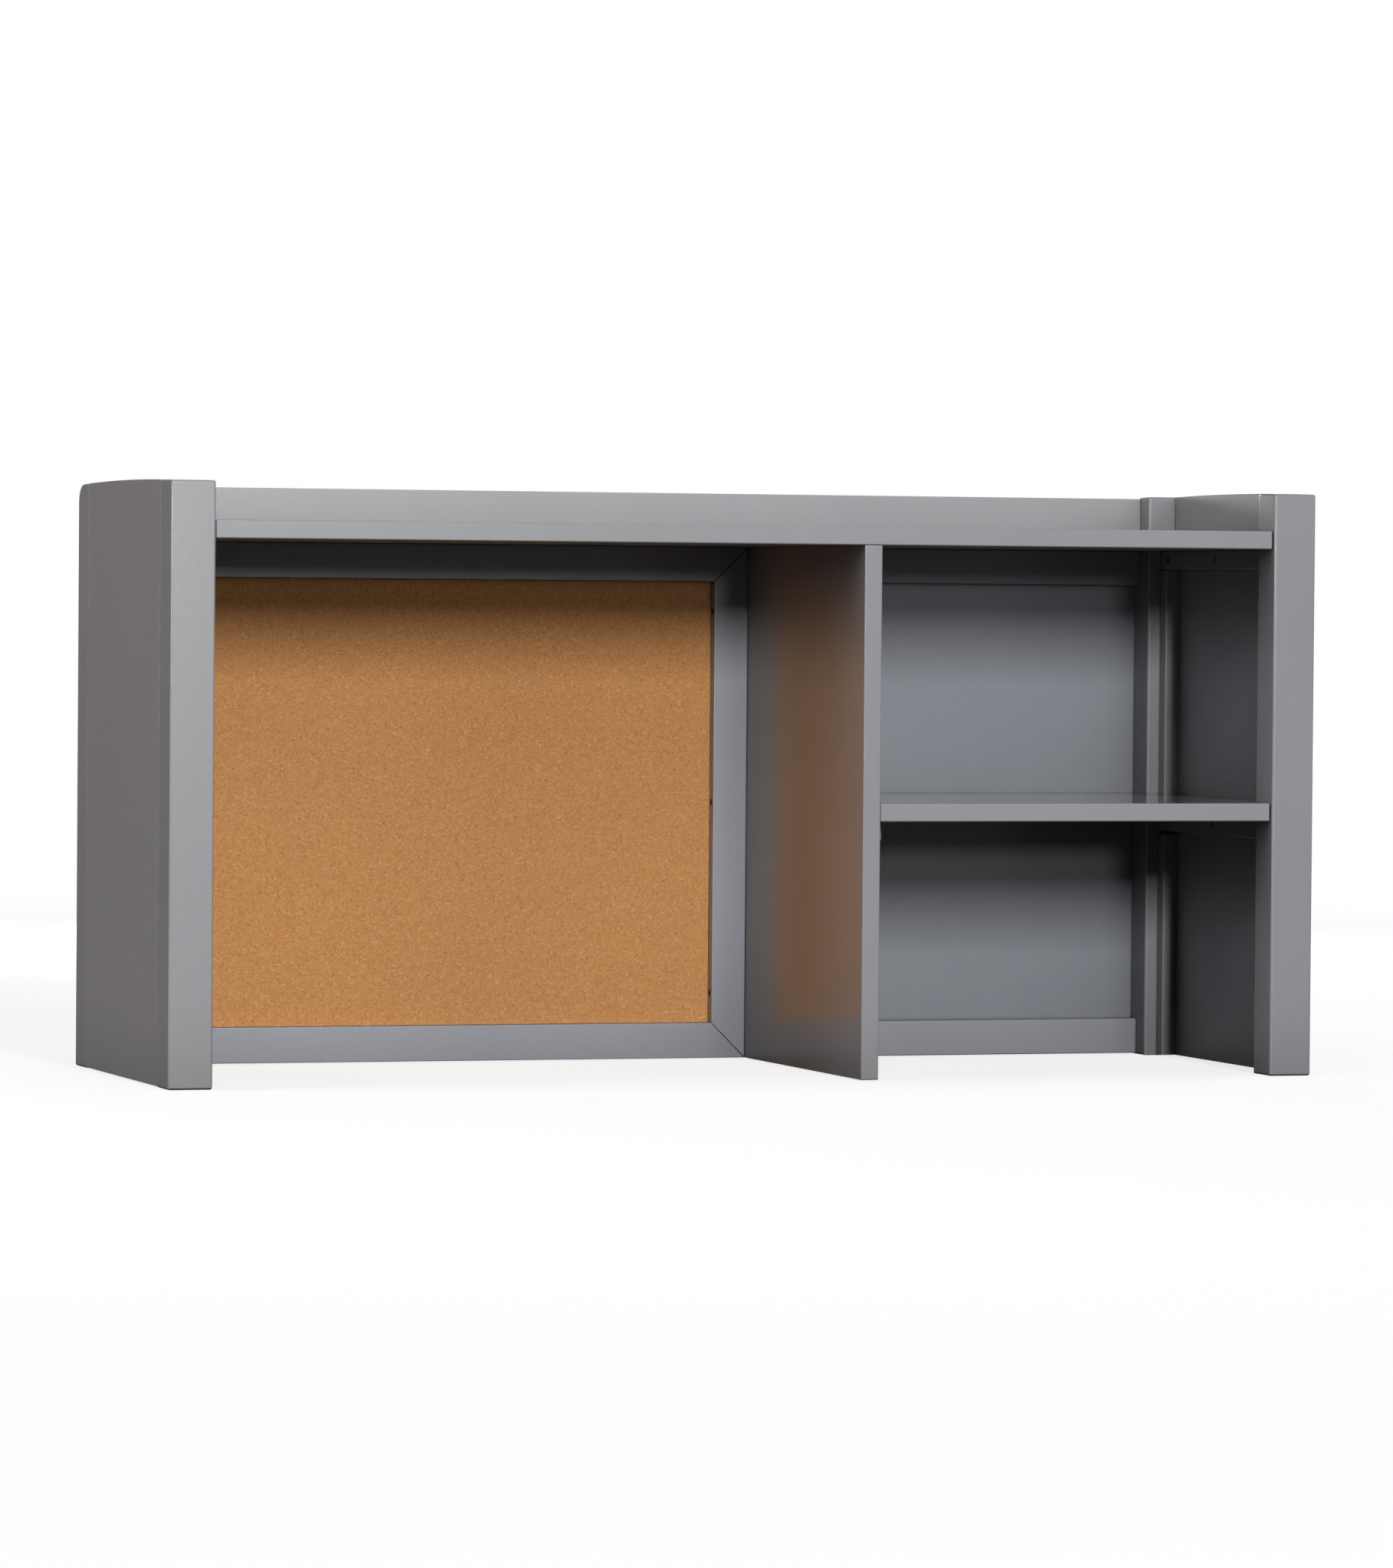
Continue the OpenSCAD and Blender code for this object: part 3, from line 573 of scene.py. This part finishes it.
def makeCork():
    material = newMaterial("pressedCork")
    tree = material.node_tree
    coords = addNode(tree, "ShaderNodeTexCoord", (-1300, 0))
    warp = addNode(tree, "ShaderNodeTexNoise", (-1100, -200))
    setSockets(warp, {"Scale": cork["bendScale"], "Detail": 2.0})
    bent = addNode(tree, "ShaderNodeVectorMath", (-900, 0), operation="MULTIPLY_ADD")
    bent.inputs[1].default_value = [cork["bend"]] * 3
    small = addNode(tree, "ShaderNodeTexVoronoi", (-700, 200))
    setSockets(small, {"Scale": cork["granuleScale"]})
    large = addNode(tree, "ShaderNodeTexVoronoi", (-700, -150))
    setSockets(large, {"Scale": cork["chipScale"]})
    pick = addNode(tree, "ShaderNodeSeparateColor", (-500, 200))
    pickLarge = addNode(tree, "ShaderNodeSeparateColor", (-500, -150))
    ramp = addNode(tree, "ShaderNodeValToRGB", (-300, 250))
    steps = ramp.color_ramp.elements
    steps[0].color = cork["dark"]
    steps[1].color = cork["light"]
    for place, colour in cork["steps"]:
        steps.new(place).color = cork[colour]
    rampLarge = addNode(tree, "ShaderNodeValToRGB", (-300, -50))
    stepsLarge = rampLarge.color_ramp.elements
    stepsLarge[0].color = cork["chipDark"]
    stepsLarge[1].color = cork["chipLight"]
    blend = addNode(tree, "ShaderNodeMix", (0, 200), data_type="RGBA", blend_type="MULTIPLY")
    blend.inputs["Factor"].default_value = 1.0
    tone = placeGroup(tree, slowTone, (200, 200), {
        "Scale": cork["cloudScale"], "Amount": cork["cloudAmount"]})
    bump = addNode(tree, "ShaderNodeBump", (200, -250))
    setSockets(bump, {"Strength": cork["reliefShare"], "Distance": cork["relief"]})
    shader = addNode(tree, "ShaderNodeBsdfPrincipled", (450, 100))
    setSockets(shader, {"Roughness": cork["roughness"], "Specular IOR Level": cork["shine"]})
    out = addNode(tree, "ShaderNodeOutputMaterial", (750, 100))
    link = tree.links.new
    link(coords.outputs["Object"], warp.inputs["Vector"])
    link(warp.outputs["Color"], bent.inputs[0])
    link(coords.outputs["Object"], bent.inputs[2])
    for cell in (small, large):
        link(bent.outputs[0], cell.inputs["Vector"])
    link(small.outputs["Color"], pick.inputs[0])
    link(large.outputs["Color"], pickLarge.inputs[0])
    link(pick.outputs[0], ramp.inputs["Fac"])
    link(pickLarge.outputs[0], rampLarge.inputs["Fac"])
    link(ramp.outputs["Color"], blend.inputs[6])
    link(rampLarge.outputs["Color"], blend.inputs[7])
    link(blend.outputs[2], tone.inputs["Colour"])
    link(tone.outputs["Colour"], shader.inputs["Base Color"])
    link(small.outputs["Distance"], bump.inputs["Height"])
    link(bump.outputs["Normal"], shader.inputs["Normal"])
    link(shader.outputs[0], out.inputs[0])
    return material


metals = {
    # name: colour, edge colour, roughness, metallic
    "blackSteel": ((0.012, 0.012, 0.013, 1), (0.05, 0.05, 0.05, 1), 0.42, 0.6),
    "darkSteel": ((0.07, 0.07, 0.075, 1), (0.12, 0.12, 0.12, 1), 0.45, 0.3),
    "zincSteel": ((0.46, 0.46, 0.44, 1), (0.6, 0.6, 0.58, 1), 0.34, 1.0),
    "insertBrass": ((0.50, 0.33, 0.10, 1), (0.65, 0.46, 0.18, 1), 0.30, 1.0),
}


metalSurface = {
    "cloudScale": 300.0,       # unevenness of the tone
    "cloudAmount": 0.3,
    "edgeAmount": 0.5,
    "fibreScale": 2500.0,
    "rippleScale": 900.0,
    "glossSpread": 0.1,
    "relief": 0.00004,
}


def makeMetal(name, colour, edgeColour, roughness, metallic):
    material = newMaterial(name)
    tree = material.node_tree
    tone = placeGroup(tree, slowTone, (-700, 200), {
        "Colour": colour, "Scale": metalSurface["cloudScale"],
        "Amount": metalSurface["cloudAmount"]})
    edge = placeGroup(tree, edgeTone, (-450, 200), {
        "Edge Colour": edgeColour, "Amount": metalSurface["edgeAmount"]})
    relief = placeGroup(tree, fineRelief, (-700, -200), {
        "Stretch": (1.0, 1.0, 1.0), "Fibre Scale": metalSurface["fibreScale"],
        "Ripple Scale": metalSurface["rippleScale"]})
    gloss = addNode(tree, "ShaderNodeMapRange", (-450, -50))
    setSockets(gloss, {"To Min": roughness - metalSurface["glossSpread"],
                       "To Max": roughness + metalSurface["glossSpread"]})
    bump = addNode(tree, "ShaderNodeBump", (-300, -250))
    setSockets(bump, {"Strength": 1.0, "Distance": metalSurface["relief"]})
    shader = addNode(tree, "ShaderNodeBsdfPrincipled", (0, 100))
    setSockets(shader, {"Metallic": metallic})
    out = addNode(tree, "ShaderNodeOutputMaterial", (300, 100))
    link = tree.links.new
    link(tone.outputs["Colour"], edge.inputs["Colour"])
    link(edge.outputs["Colour"], shader.inputs["Base Color"])
    link(tone.outputs["Cloud"], gloss.inputs["Value"])
    link(gloss.outputs["Result"], shader.inputs["Roughness"])
    link(relief.outputs["Height"], bump.inputs["Height"])
    link(bump.outputs["Normal"], shader.inputs["Normal"])
    link(shader.outputs[0], out.inputs[0])
    return material


beech = {
    "dark": (0.36, 0.20, 0.09, 1),
    "light": (0.62, 0.42, 0.22, 1),
    "stretch": (0.05, 1.0, 1.0),
    "fibre": 1.0,
    "relief": 0.1 * mm,
    "roughness": 0.7,
}


def makeBeech():
    material = newMaterial("bareBeech")
    tree = material.node_tree
    relief = placeGroup(tree, fineRelief, (-700, -100), {
        "Stretch": beech["stretch"], "Fibre": beech["fibre"]})
    ramp = addNode(tree, "ShaderNodeValToRGB", (-450, 200))
    ramp.color_ramp.elements[0].color = beech["dark"]
    ramp.color_ramp.elements[1].color = beech["light"]
    bump = addNode(tree, "ShaderNodeBump", (-300, -250))
    setSockets(bump, {"Strength": 1.0, "Distance": beech["relief"]})
    shader = addNode(tree, "ShaderNodeBsdfPrincipled", (0, 100))
    setSockets(shader, {"Roughness": beech["roughness"]})
    out = addNode(tree, "ShaderNodeOutputMaterial", (300, 100))
    link = tree.links.new
    link(relief.outputs["Fibre"], ramp.inputs["Fac"])
    link(ramp.outputs["Color"], shader.inputs["Base Color"])
    link(relief.outputs["Height"], bump.inputs["Height"])
    link(bump.outputs["Normal"], shader.inputs["Normal"])
    link(shader.outputs[0], out.inputs[0])
    return material


# the way the fibres run under the paint: the noise is stretched along that axis
alongX = (0.03, 1.0, 1.0)
alongY = (1.0, 0.03, 1.0)
alongZ = (1.0, 1.0, 0.03)

# Apart from the uprights, the side panels and the cleats, these finishes use lighter or darker
# copies of the one grey: painted light and shade
uprightPaint = makePaint("greyLacquerUpright", paint["colour"], alongZ,
                         coatGloss=paint["uprightCoatGloss"])
litGalleryPaint = makePaint("greyLacquerLitGallery", paint["litGalleryColour"], alongX)
panelPaint = makePaint("greyLacquerPanel", paint["colour"], alongZ, coatShare=paint["panelCoat"])
topShelfPaint = makePaint("greyLacquerTop", paint["litShelfColour"], alongX,
                          coatShare=paint["shelfCoat"], underCoat=0.0)
middleShelfPaint = makePaint("greyLacquerShelf", paint["litShelfColour"], alongX,
                             coatShare=paint["shelfCoat"], underCoat=0.0, topCoat=1.0,
                             topDullness=0.0)
cleatPaint = makePaint("greyLacquerCleat", paint["colour"], alongY, underCoat=1.0)
shadedBackPaint = makePaint("greyLacquerShadedBack", paint["shadedBackColour"], alongX)
litFramePaintUpright = makePaint("greyLacquerLitFrameUpright", paint["litFrameColour"], alongZ)
litFramePaintLevel = makePaint("greyLacquerLitFrameLevel", paint["litFrameColour"], alongX)
pressedCork = makeCork()
metalFinishes = {name: makeMetal(name, *values) for name, values in metals.items()}
bareBeech = makeBeech()
print("finishes made")


def clearSelection():
    bpy.ops.object.select_all(action="DESELECT")


def addBlock(name, low, high):
    clearSelection()
    middle = [(a + b) / 2 for a, b in zip(low, high)]
    size = [b - a for a, b in zip(low, high)]
    bpy.ops.mesh.primitive_cube_add(size=1, location=middle, scale=size)
    piece = bpy.context.object
    piece.name = name
    bpy.ops.object.transform_apply(location=True, rotation=True, scale=True)
    return piece


def makeActive(piece):
    clearSelection()
    piece.select_set(True)
    bpy.context.view_layer.objects.active = piece


def startEdit(piece):
    makeActive(piece)
    bpy.ops.object.mode_set(mode="EDIT")


def endEdit():
    bpy.ops.object.mode_set(mode="OBJECT")


def pick(piece, kind, test):
    # selects the vertices, edges or faces that pass the test
    bpy.ops.mesh.select_mode(type=kind)
    bpy.ops.mesh.select_all(action="DESELECT")
    mesh = bmesh.from_edit_mesh(piece.data)
    found = {"VERT": mesh.verts, "EDGE": mesh.edges, "FACE": mesh.faces}[kind]
    for item in found:
        if test(item):
            item.select_set(True)
    mesh.select_flush_mode()
    bmesh.update_edit_mesh(piece.data)


def cutLine(axis, value):
    # a new loop of edges all round, where the plane crosses the piece
    normal = [0, 0, 0]
    normal[axis] = 1
    point = [0, 0, 0]
    point[axis] = value
    bpy.ops.mesh.select_mode(type="FACE")
    bpy.ops.mesh.select_all(action="SELECT")
    bpy.ops.mesh.bisect(plane_co=point, plane_no=normal)


mostly = 0.9                   # share of a direction that has to lie along an axis
sharpBend = 60                 # degrees between two faces from which their edge is a corner
smoothAngle = 40               # degrees: edges that bend less are shaded as one surface
justOver = 1.01                # room when a place is compared with the width of a rounding
weldRoom = 1e-6                # metres between corners that become one


def near(a, b, room=1e-5):
    return abs(a - b) < room


def isAlong(edge, axis):
    a, b = edge.verts[0].co, edge.verts[1].co
    way = (b - a).normalized()
    return abs(way[axis]) > mostly


def middleOf(edge):
    return (edge.verts[0].co + edge.verts[1].co) / 2


def bendOf(edge):
    # the angle between the two faces of an edge, in degrees
    faces = [face.normal for face in edge.link_faces]
    if len(faces) != 2 or min(normal.length for normal in faces) < 0.5:
        return 0
    return math.degrees(faces[0].angle(faces[1]))


def isCorner(edge):
    return bendOf(edge) > sharpBend


def ease(piece, width, segments, test):
    # rounds the edges that pass the test
    startEdit(piece)
    pick(piece, "EDGE", test)
    bpy.ops.mesh.bevel(offset=width, offset_type="OFFSET", segments=segments, profile=0.5,
                       affect="EDGES")
    endEdit()


def easeSharp(piece, width, segments=2):
    # a small round on every edge that is still sharp
    makeActive(piece)
    bevel = piece.modifiers.new("arris", "BEVEL")
    bevel.width = width
    bevel.segments = segments
    bevel.limit_method = "ANGLE"
    bevel.angle_limit = math.radians(smoothAngle)
    bpy.ops.object.modifier_apply(modifier=bevel.name)


def cutWith(piece, cutter):
    # takes the cutter's shape out of the piece and removes the cutter
    makeActive(piece)
    cut = piece.modifiers.new("cut", "BOOLEAN")
    cut.operation = "DIFFERENCE"
    cut.solver = "EXACT"
    cut.object = cutter
    bpy.ops.object.modifier_apply(modifier=cut.name)
    bpy.data.objects.remove(cutter)


countersink = {"headRadius": 3.65 * mm, "shankRadius": 2.15 * mm, "headDepth": 2.6 * mm}
backCountersink = {"headRadius": 3.35 * mm, "shankRadius": 1.75 * mm, "headDepth": 1.8 * mm}
boreDepth = 20 * mm            # all screws are shorter
holeSides = 32


def drill(piece, place, way, size):
    # a countersunk hole whose mouth is at place, going in along way
    clearSelection()
    lead = 1 * mm              # how far the cutter stands out of the mouth
    overlap = 0.01 * mm
    turn = Vector(way).to_track_quat("Z", "Y").to_euler()
    deep = Vector(way).normalized()
    mouth = Vector(place)
    bpy.ops.mesh.primitive_cone_add(
        vertices=holeSides, radius1=size["headRadius"], radius2=size["shankRadius"],
        depth=size["headDepth"], location=mouth + deep * size["headDepth"] / 2, rotation=turn)
    cone = bpy.context.object
    bpy.ops.mesh.primitive_cylinder_add(
        vertices=holeSides, radius=size["headRadius"], depth=lead,
        location=mouth - deep * (lead / 2 - overlap), rotation=turn)
    mouthCutter = bpy.context.object
    bpy.ops.mesh.primitive_cylinder_add(
        vertices=holeSides, radius=size["shankRadius"], depth=boreDepth,
        location=mouth + deep * boreDepth / 2, rotation=turn)
    shank = bpy.context.object
    for cutter in (cone, mouthCutter, shank):
        cutWith(piece, cutter)


def finish(piece, material, node, angle=smoothAngle):
    # closes the mesh, shades it, and lets the piece stand for its node
    startEdit(piece)
    bpy.ops.mesh.select_all(action="SELECT")
    bpy.ops.mesh.remove_doubles(threshold=weldRoom)
    bpy.ops.mesh.normals_make_consistent(inside=False)
    endEdit()
    bpy.ops.object.shade_smooth_by_angle(angle=math.radians(angle))
    weighted = piece.modifiers.new("flatFaces", "WEIGHTED_NORMAL")
    weighted.keep_sharp = True
    bpy.ops.object.modifier_apply(modifier=weighted.name)
    piece.data.materials.clear()
    piece.data.materials.append(material)
    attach(piece, bodyName)
    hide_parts(node)


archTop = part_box("side_panel_left")[1].z    # highest point of the arched sides
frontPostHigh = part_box("post_front_left")[1]
halfDepth = cadHigh.y
jointPlane = -frontPostHigh.y               # distance of the panel joints from mid depth

side = {
    "archRise": 2.2 * mm,
    "rim": 2.2 * mm,           # rounding of the posts' edges and feet
    "joint": 0.35 * mm,        # fine V where a panel meets a post
    "panelRim": 1.0 * mm,      # rounding of the panels' top edges
    "rearCorner": 18 * mm,     # rounding of the rear posts' top
    "shadowGap": 1.8 * mm,     # slit beside the panel on the inside
    "shadowDepth": 3.5 * mm,
    "shadowStop": 14.2 * mm,   # the slit ends this far below the arch
    "rimSegments": 5,
    "panelSegments": 4,
    "cornerSegments": 14,
    "postSteps": 5,            # straight lengths that make up the arch on a post
    "panelSteps": 16,
}


def archHeight(y):
    return archTop - side["archRise"] * (y / halfDepth) ** 2


def raiseArch(piece, y0, y1, steps):
    # the flat top is cut across and lifted to the arch, line by line
    startEdit(piece)
    for i in range(1, steps):
        cutLine(1, y0 + (y1 - y0) * i / steps)
    top = max(v.co.z for v in bmesh.from_edit_mesh(piece.data).verts)
    for i in range(steps + 1):
        y = y0 + (y1 - y0) * i / steps
        pick(piece, "VERT", lambda v: near(v.co.z, top) and near(v.co.y, y))
        bpy.ops.transform.translate(value=(0, 0, archHeight(y) - top))
    endEdit()


def makePost(node, sideSign, isFront):
    low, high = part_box(node)
    outer = low.x if sideSign < 0 else high.x
    jointY = high.y if isFront else low.y
    flatEnd = high.y if isFront else high.y - side["rearCorner"]
    base = archHeight(low.y if isFront else flatEnd)
    post = addBlock("visible_" + node, (low.x, low.y, 0), (high.x, high.y, base))
    if not isFront:
        ease(post, side["rearCorner"], side["cornerSegments"], lambda edge: isAlong(edge, 0)
             and near(middleOf(edge).y, high.y) and middleOf(edge).z > base / 2)
    raiseArch(post, low.y, flatEnd, side["postSteps"])

    def isRim(edge):
        middle = middleOf(edge)
        onJoint = near(middle.y, jointY)
        if not isCorner(edge) or (onJoint and not isAlong(edge, 2)):
            return False
        return not (onJoint and near(middle.x, outer))

    def isJoint(edge):
        a, b = edge.verts[0].co, edge.verts[1].co
        onJoint = near(a.y, jointY) and near(b.y, jointY)
        isOuter = abs(middleOf(edge).x - outer) < side["rim"] * justOver
        return onJoint and isOuter and isCorner(edge)

    ease(post, side["rim"], side["rimSegments"], isRim)
    ease(post, side["joint"], 1, isJoint)
    finish(post, uprightPaint if isFront else panelPaint, node)


def makeSidePanel(node, sideSign):
    low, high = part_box(node)
    outer = low.x if sideSign < 0 else high.x
    inner = high.x if sideSign < 0 else low.x
    base = archHeight(jointPlane)
    panel = addBlock("visible_" + node, (low.x, -jointPlane, low.z), (high.x, jointPlane, base))
    raiseArch(panel, -jointPlane, jointPlane, side["panelSteps"])
    ease(panel, side["panelRim"], side["panelSegments"], lambda edge: isAlong(edge, 1)
         and middleOf(edge).z > base - mm)
    ease(panel, side["joint"], 1, lambda edge: near(abs(middleOf(edge).y), jointPlane)
         and abs(middleOf(edge).x - outer) < side["panelRim"] * justOver and isCorner(edge))
    for end in (-1, 1):
        y = sorted((end * (jointPlane + mm), end * (jointPlane - side["shadowGap"])))
        x = sorted((inner - sideSign * mm, inner + sideSign * side["shadowDepth"]))
        slit = addBlock("slit", (x[0], y[0], -mm), (x[1], y[1], archTop - side["shadowStop"]))
        cutWith(panel, slit)
    finish(panel, panelPaint, node)


for sign, sideName in ((-1, "left"), (1, "right")):
    makePost("post_front_" + sideName, sign, True)
    makePost("post_rear_" + sideName, sign, False)
    makeSidePanel("side_panel_" + sideName, sign)
print("sides made")


board = {
    "frontEdge": 1.2 * mm,     # rounding of the front edges
    "otherEdge": 0.6 * mm,
    "frontSegments": 4,
    "notch": 1.2 * mm,         # room between a shelf's wings and the posts
    "endGap": 0.7 * mm,        # and between its front part and the posts
}


def easeBoard(piece, front):
    # rounds a board's front edges, then takes the sharpness off the rest
    ease(piece, board["frontEdge"], board["frontSegments"], lambda edge: isCorner(edge)
         and near(edge.verts[0].co.y, front) and near(edge.verts[1].co.y, front))
    easeSharp(piece, board["otherEdge"])


def pushWing(piece, sign, reach, halfWing):
    # the part of a shelf's end that goes on between the posts
    pick(piece, "FACE", lambda face: face.normal.x * sign > mostly
         and abs(face.calc_center_median().y) < halfWing)
    edge = max(sign * v.co.x for v in bmesh.from_edit_mesh(piece.data).verts)
    move = (sign * (reach - edge), 0, 0)
    bpy.ops.mesh.extrude_region_move(TRANSFORM_OT_translate={"value": move})


def makeShelf(node, body, wings):
    # body is the middle of the shelf in X, wings the ends that stand between the posts
    low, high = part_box(node)
    shelf = addBlock("visible_" + node, (body[0], low.y, low.z), (body[1], high.y, high.z))
    halfWing = jointPlane - board["notch"]
    startEdit(shelf)
    for y in (-halfWing, halfWing):
        cutLine(1, y)
    for sign in wings:
        pushWing(shelf, sign, high.x if sign > 0 else -low.x, halfWing)
    endEdit()
    easeBoard(shelf, low.y)
    return shelf


# where a shelf's front part ends, short of the posts
shelfEnd = -frontPostHigh.x - board["endGap"]

topShelf = makeShelf("top_shelf", (-shelfEnd, shelfEnd), (-1, 1))
finish(topShelf, topShelfPaint, "top_shelf")
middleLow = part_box("middle_shelf")[0]
middleShelf = makeShelf("middle_shelf", (middleLow.x, shelfEnd), (1,))
finish(middleShelf, middleShelfPaint, "middle_shelf")

dividerLow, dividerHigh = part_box("divider")
divider = addBlock("visible_divider", dividerLow, dividerHigh)
easeBoard(divider, dividerLow.y)
finish(divider, uprightPaint, "divider")
print("shelves and divider made")


rails = {"frontEdge": 1.0 * mm, "otherEdge": 0.4 * mm, "segments": 3}


def makeRail(node, material):
    low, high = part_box(node)
    rail = addBlock("visible_" + node, low, high)
    ease(rail, rails["frontEdge"], rails["segments"], lambda edge: isAlong(edge, 0)
         and near(middleOf(edge).y, low.y))
    easeSharp(rail, rails["otherEdge"])
    finish(rail, material, node)


makeRail("gallery_rail", litGalleryPaint)
makeRail("bay_rail_top", shadedBackPaint)
makeRail("bay_rail_bottom", litFramePaintLevel)

corkFrame = {"frontEdge": 0.9 * mm, "segments": 2}


def makeFrameMember(node, axis, innerSign):
    # a mitred member: its inner edge is shorter than its outer edge by its own width at each end
    low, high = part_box(node)
    member = addBlock("visible_" + node, low, high)
    across = 2 if axis == 0 else 0
    width = high[across] - low[across]
    inner = high[across] if innerSign > 0 else low[across]
    startEdit(member)
    for end, sign in ((low[axis], 1), (high[axis], -1)):
        pick(member, "VERT", lambda v: near(v.co[axis], end) and near(v.co[across], inner))
        move = [0, 0, 0]
        move[axis] = sign * width
        bpy.ops.transform.translate(value=move)
    endEdit()
    ease(member, corkFrame["frontEdge"], corkFrame["segments"],
         lambda edge: near(middleOf(edge).y, low.y))
    return member


def partsOf(node):
    # the boxes of a node's separate solids, found by what their triangles share
    mesh = bmesh.new()
    mesh.from_mesh(frame["nodes"][node].data)
    bmesh.ops.remove_doubles(mesh, verts=mesh.verts, dist=1e-7)
    left = set(mesh.verts)
    found = []
    while left:
        start = left.pop()
        island, edge = {start}, [start]
        while edge:
            vert = edge.pop()
            for link in vert.link_edges:
                other = link.other_vert(vert)
                if other in left:
                    left.discard(other)
                    island.add(other)
                    edge.append(other)
        low = Vector([min(v.co[i] for v in island) for i in range(3)])
        high = Vector([max(v.co[i] for v in island) for i in range(3)])
        found.append((low, high))
    mesh.free()
    return sorted(found, key=lambda part: tuple(round(value, 5) for value in (*part[0], *part[1])))


def drillFor(piece, screws, way, size=countersink):
    # a countersunk hole for each screw whose head starts on this piece
    for low, high in screws:
        middle = (low + high) / 2
        axis = [abs(value) > 0.5 for value in way].index(True)
        mouth = Vector(middle)
        mouth[axis] = low[axis] if way[axis] > 0 else high[axis]
        drill(piece, mouth, way, size)


frameScrewBoxes = partsOf("frame_screws")
frameMembers = {
    # node: axis, side of its inner edge, finish
    "frame_rail_top": (0, -1, litFramePaintLevel),
    "frame_rail_bottom": (0, 1, litFramePaintLevel),
    "frame_stile_left": (2, 1, litFramePaintUpright),
    "frame_stile_right": (2, -1, litFramePaintUpright),
}
for node, (axis, innerSign, material) in frameMembers.items():
    member = makeFrameMember(node, axis, innerSign)
    if "stile" in node:
        low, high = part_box(node)
        own = [box for box in frameScrewBoxes if (box[0].x + box[1].x) * innerSign < 0]
        drillFor(member, own, (-innerSign, 0, 0))
    finish(member, material, node)
print("rails and cork frame made")

corkSheet = {"spacing": 6 * mm, "unevenness": 0.12 * mm, "seed": 3, "smoothAngle": 60}


def makeCorkSheet(node):
    low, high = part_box(node)
    sheet = addBlock("visible_" + node, low, high)
    startEdit(sheet)
    for axis in (0, 2):
        count = int((high[axis] - low[axis]) / corkSheet["spacing"])
        for i in range(1, count):
            cutLine(axis, low[axis] + (high[axis] - low[axis]) * i / count)
    # all of the front but its outline is pushed in a little and made uneven
    pick(sheet, "VERT", lambda v: near(v.co.y, low.y) and low.x + mm < v.co.x < high.x - mm
         and low.z + mm < v.co.z < high.z - mm)
    bpy.ops.transform.translate(value=(0, corkSheet["unevenness"], 0))
    bpy.ops.transform.vertex_random(offset=corkSheet["unevenness"], seed=corkSheet["seed"])
    endEdit()
    finish(sheet, pressedCork, node, corkSheet["smoothAngle"])


makeCorkSheet("cork_sheet")

backPanel = {"edge": 0.4 * mm}


def makeBackPanel(node):
    low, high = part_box(node)
    panel = addBlock("visible_" + node, low, high)
    easeSharp(panel, backPanel["edge"])
    drillFor(panel, partsOf("back_screws"), (0, -1, 0), backCountersink)
    finish(panel, shadedBackPaint, node)


makeBackPanel("back_panel")
print("cork and back panel made")


cleat = {
    "edge": 1.0 * mm,
    "cornerEdge": 1.5 * mm,    # on the corner cleats' free upright edge
    "cornerTop": 2.0 * mm,
    "cornerRest": 0.5 * mm,
    "segments": 3,
    "cornerSegments": 4,
}
cleatScrewBoxes = partsOf("cleat_screws")


def makeShelfCleat(node, wallSign):
    # wallSign is the side on which the cleat lies against its panel
    low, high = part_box(node)
    piece = addBlock("visible_" + node, low, high)
    ease(piece, cleat["edge"], cleat["segments"], lambda edge: isCorner(edge)
         and not near(middleOf(edge).x, high.x if wallSign > 0 else low.x))
    own = [box for box in cleatScrewBoxes if low.z < (box[0].z + box[1].z) / 2 < high.z
           and box[0].x < high.x and box[1].x > low.x]
    drillFor(piece, own, (wallSign, 0, 0))
    finish(piece, cleatPaint, node)


for node, wallSign in (("top_cleat_left", -1), ("top_cleat_right", 1), ("middle_cleat_side", 1),
                       ("middle_cleat_divider", -1)):
    makeShelfCleat(node, wallSign)


def makeCornerCleat(node, wallSign):
    low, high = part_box(node)
    free = low.x if wallSign > 0 else high.x
    piece = addBlock("visible_" + node, low, high)
    ease(piece, cleat["cornerEdge"], cleat["cornerSegments"], lambda edge: isAlong(edge, 2)
         and near(middleOf(edge).x, free) and near(middleOf(edge).y, low.y))
    ease(piece, cleat["cornerTop"], cleat["cornerSegments"], lambda edge: isAlong(edge, 1)
         and near(middleOf(edge).z, high.z) and isCorner(edge))
    easeSharp(piece, cleat["cornerRest"])
    finish(piece, uprightPaint, node)


for node, wallSign in (("corner_cleat_left", -1), ("corner_cleat_lower", 1),
                       ("corner_cleat_upper", 1)):
    makeCornerCleat(node, wallSign)
print("cleats made")


# the fastenings keep their own shapes and only get their finishes
fastenings = {
    "frame_screws": metalFinishes["blackSteel"],
    "cleat_screws": metalFinishes["darkSteel"],
    "shelf_screws": metalFinishes["blackSteel"],
    "back_screws": metalFinishes["zincSteel"],
    "rail_dowels": bareBeech,
    "shelf_dowels": bareBeech,
    "desk_inserts": metalFinishes["insertBrass"],
}
for node, material in fastenings.items():
    for holder in frame["nodes"][node].material_slots:
        holder.material = material
print("fastenings finished")
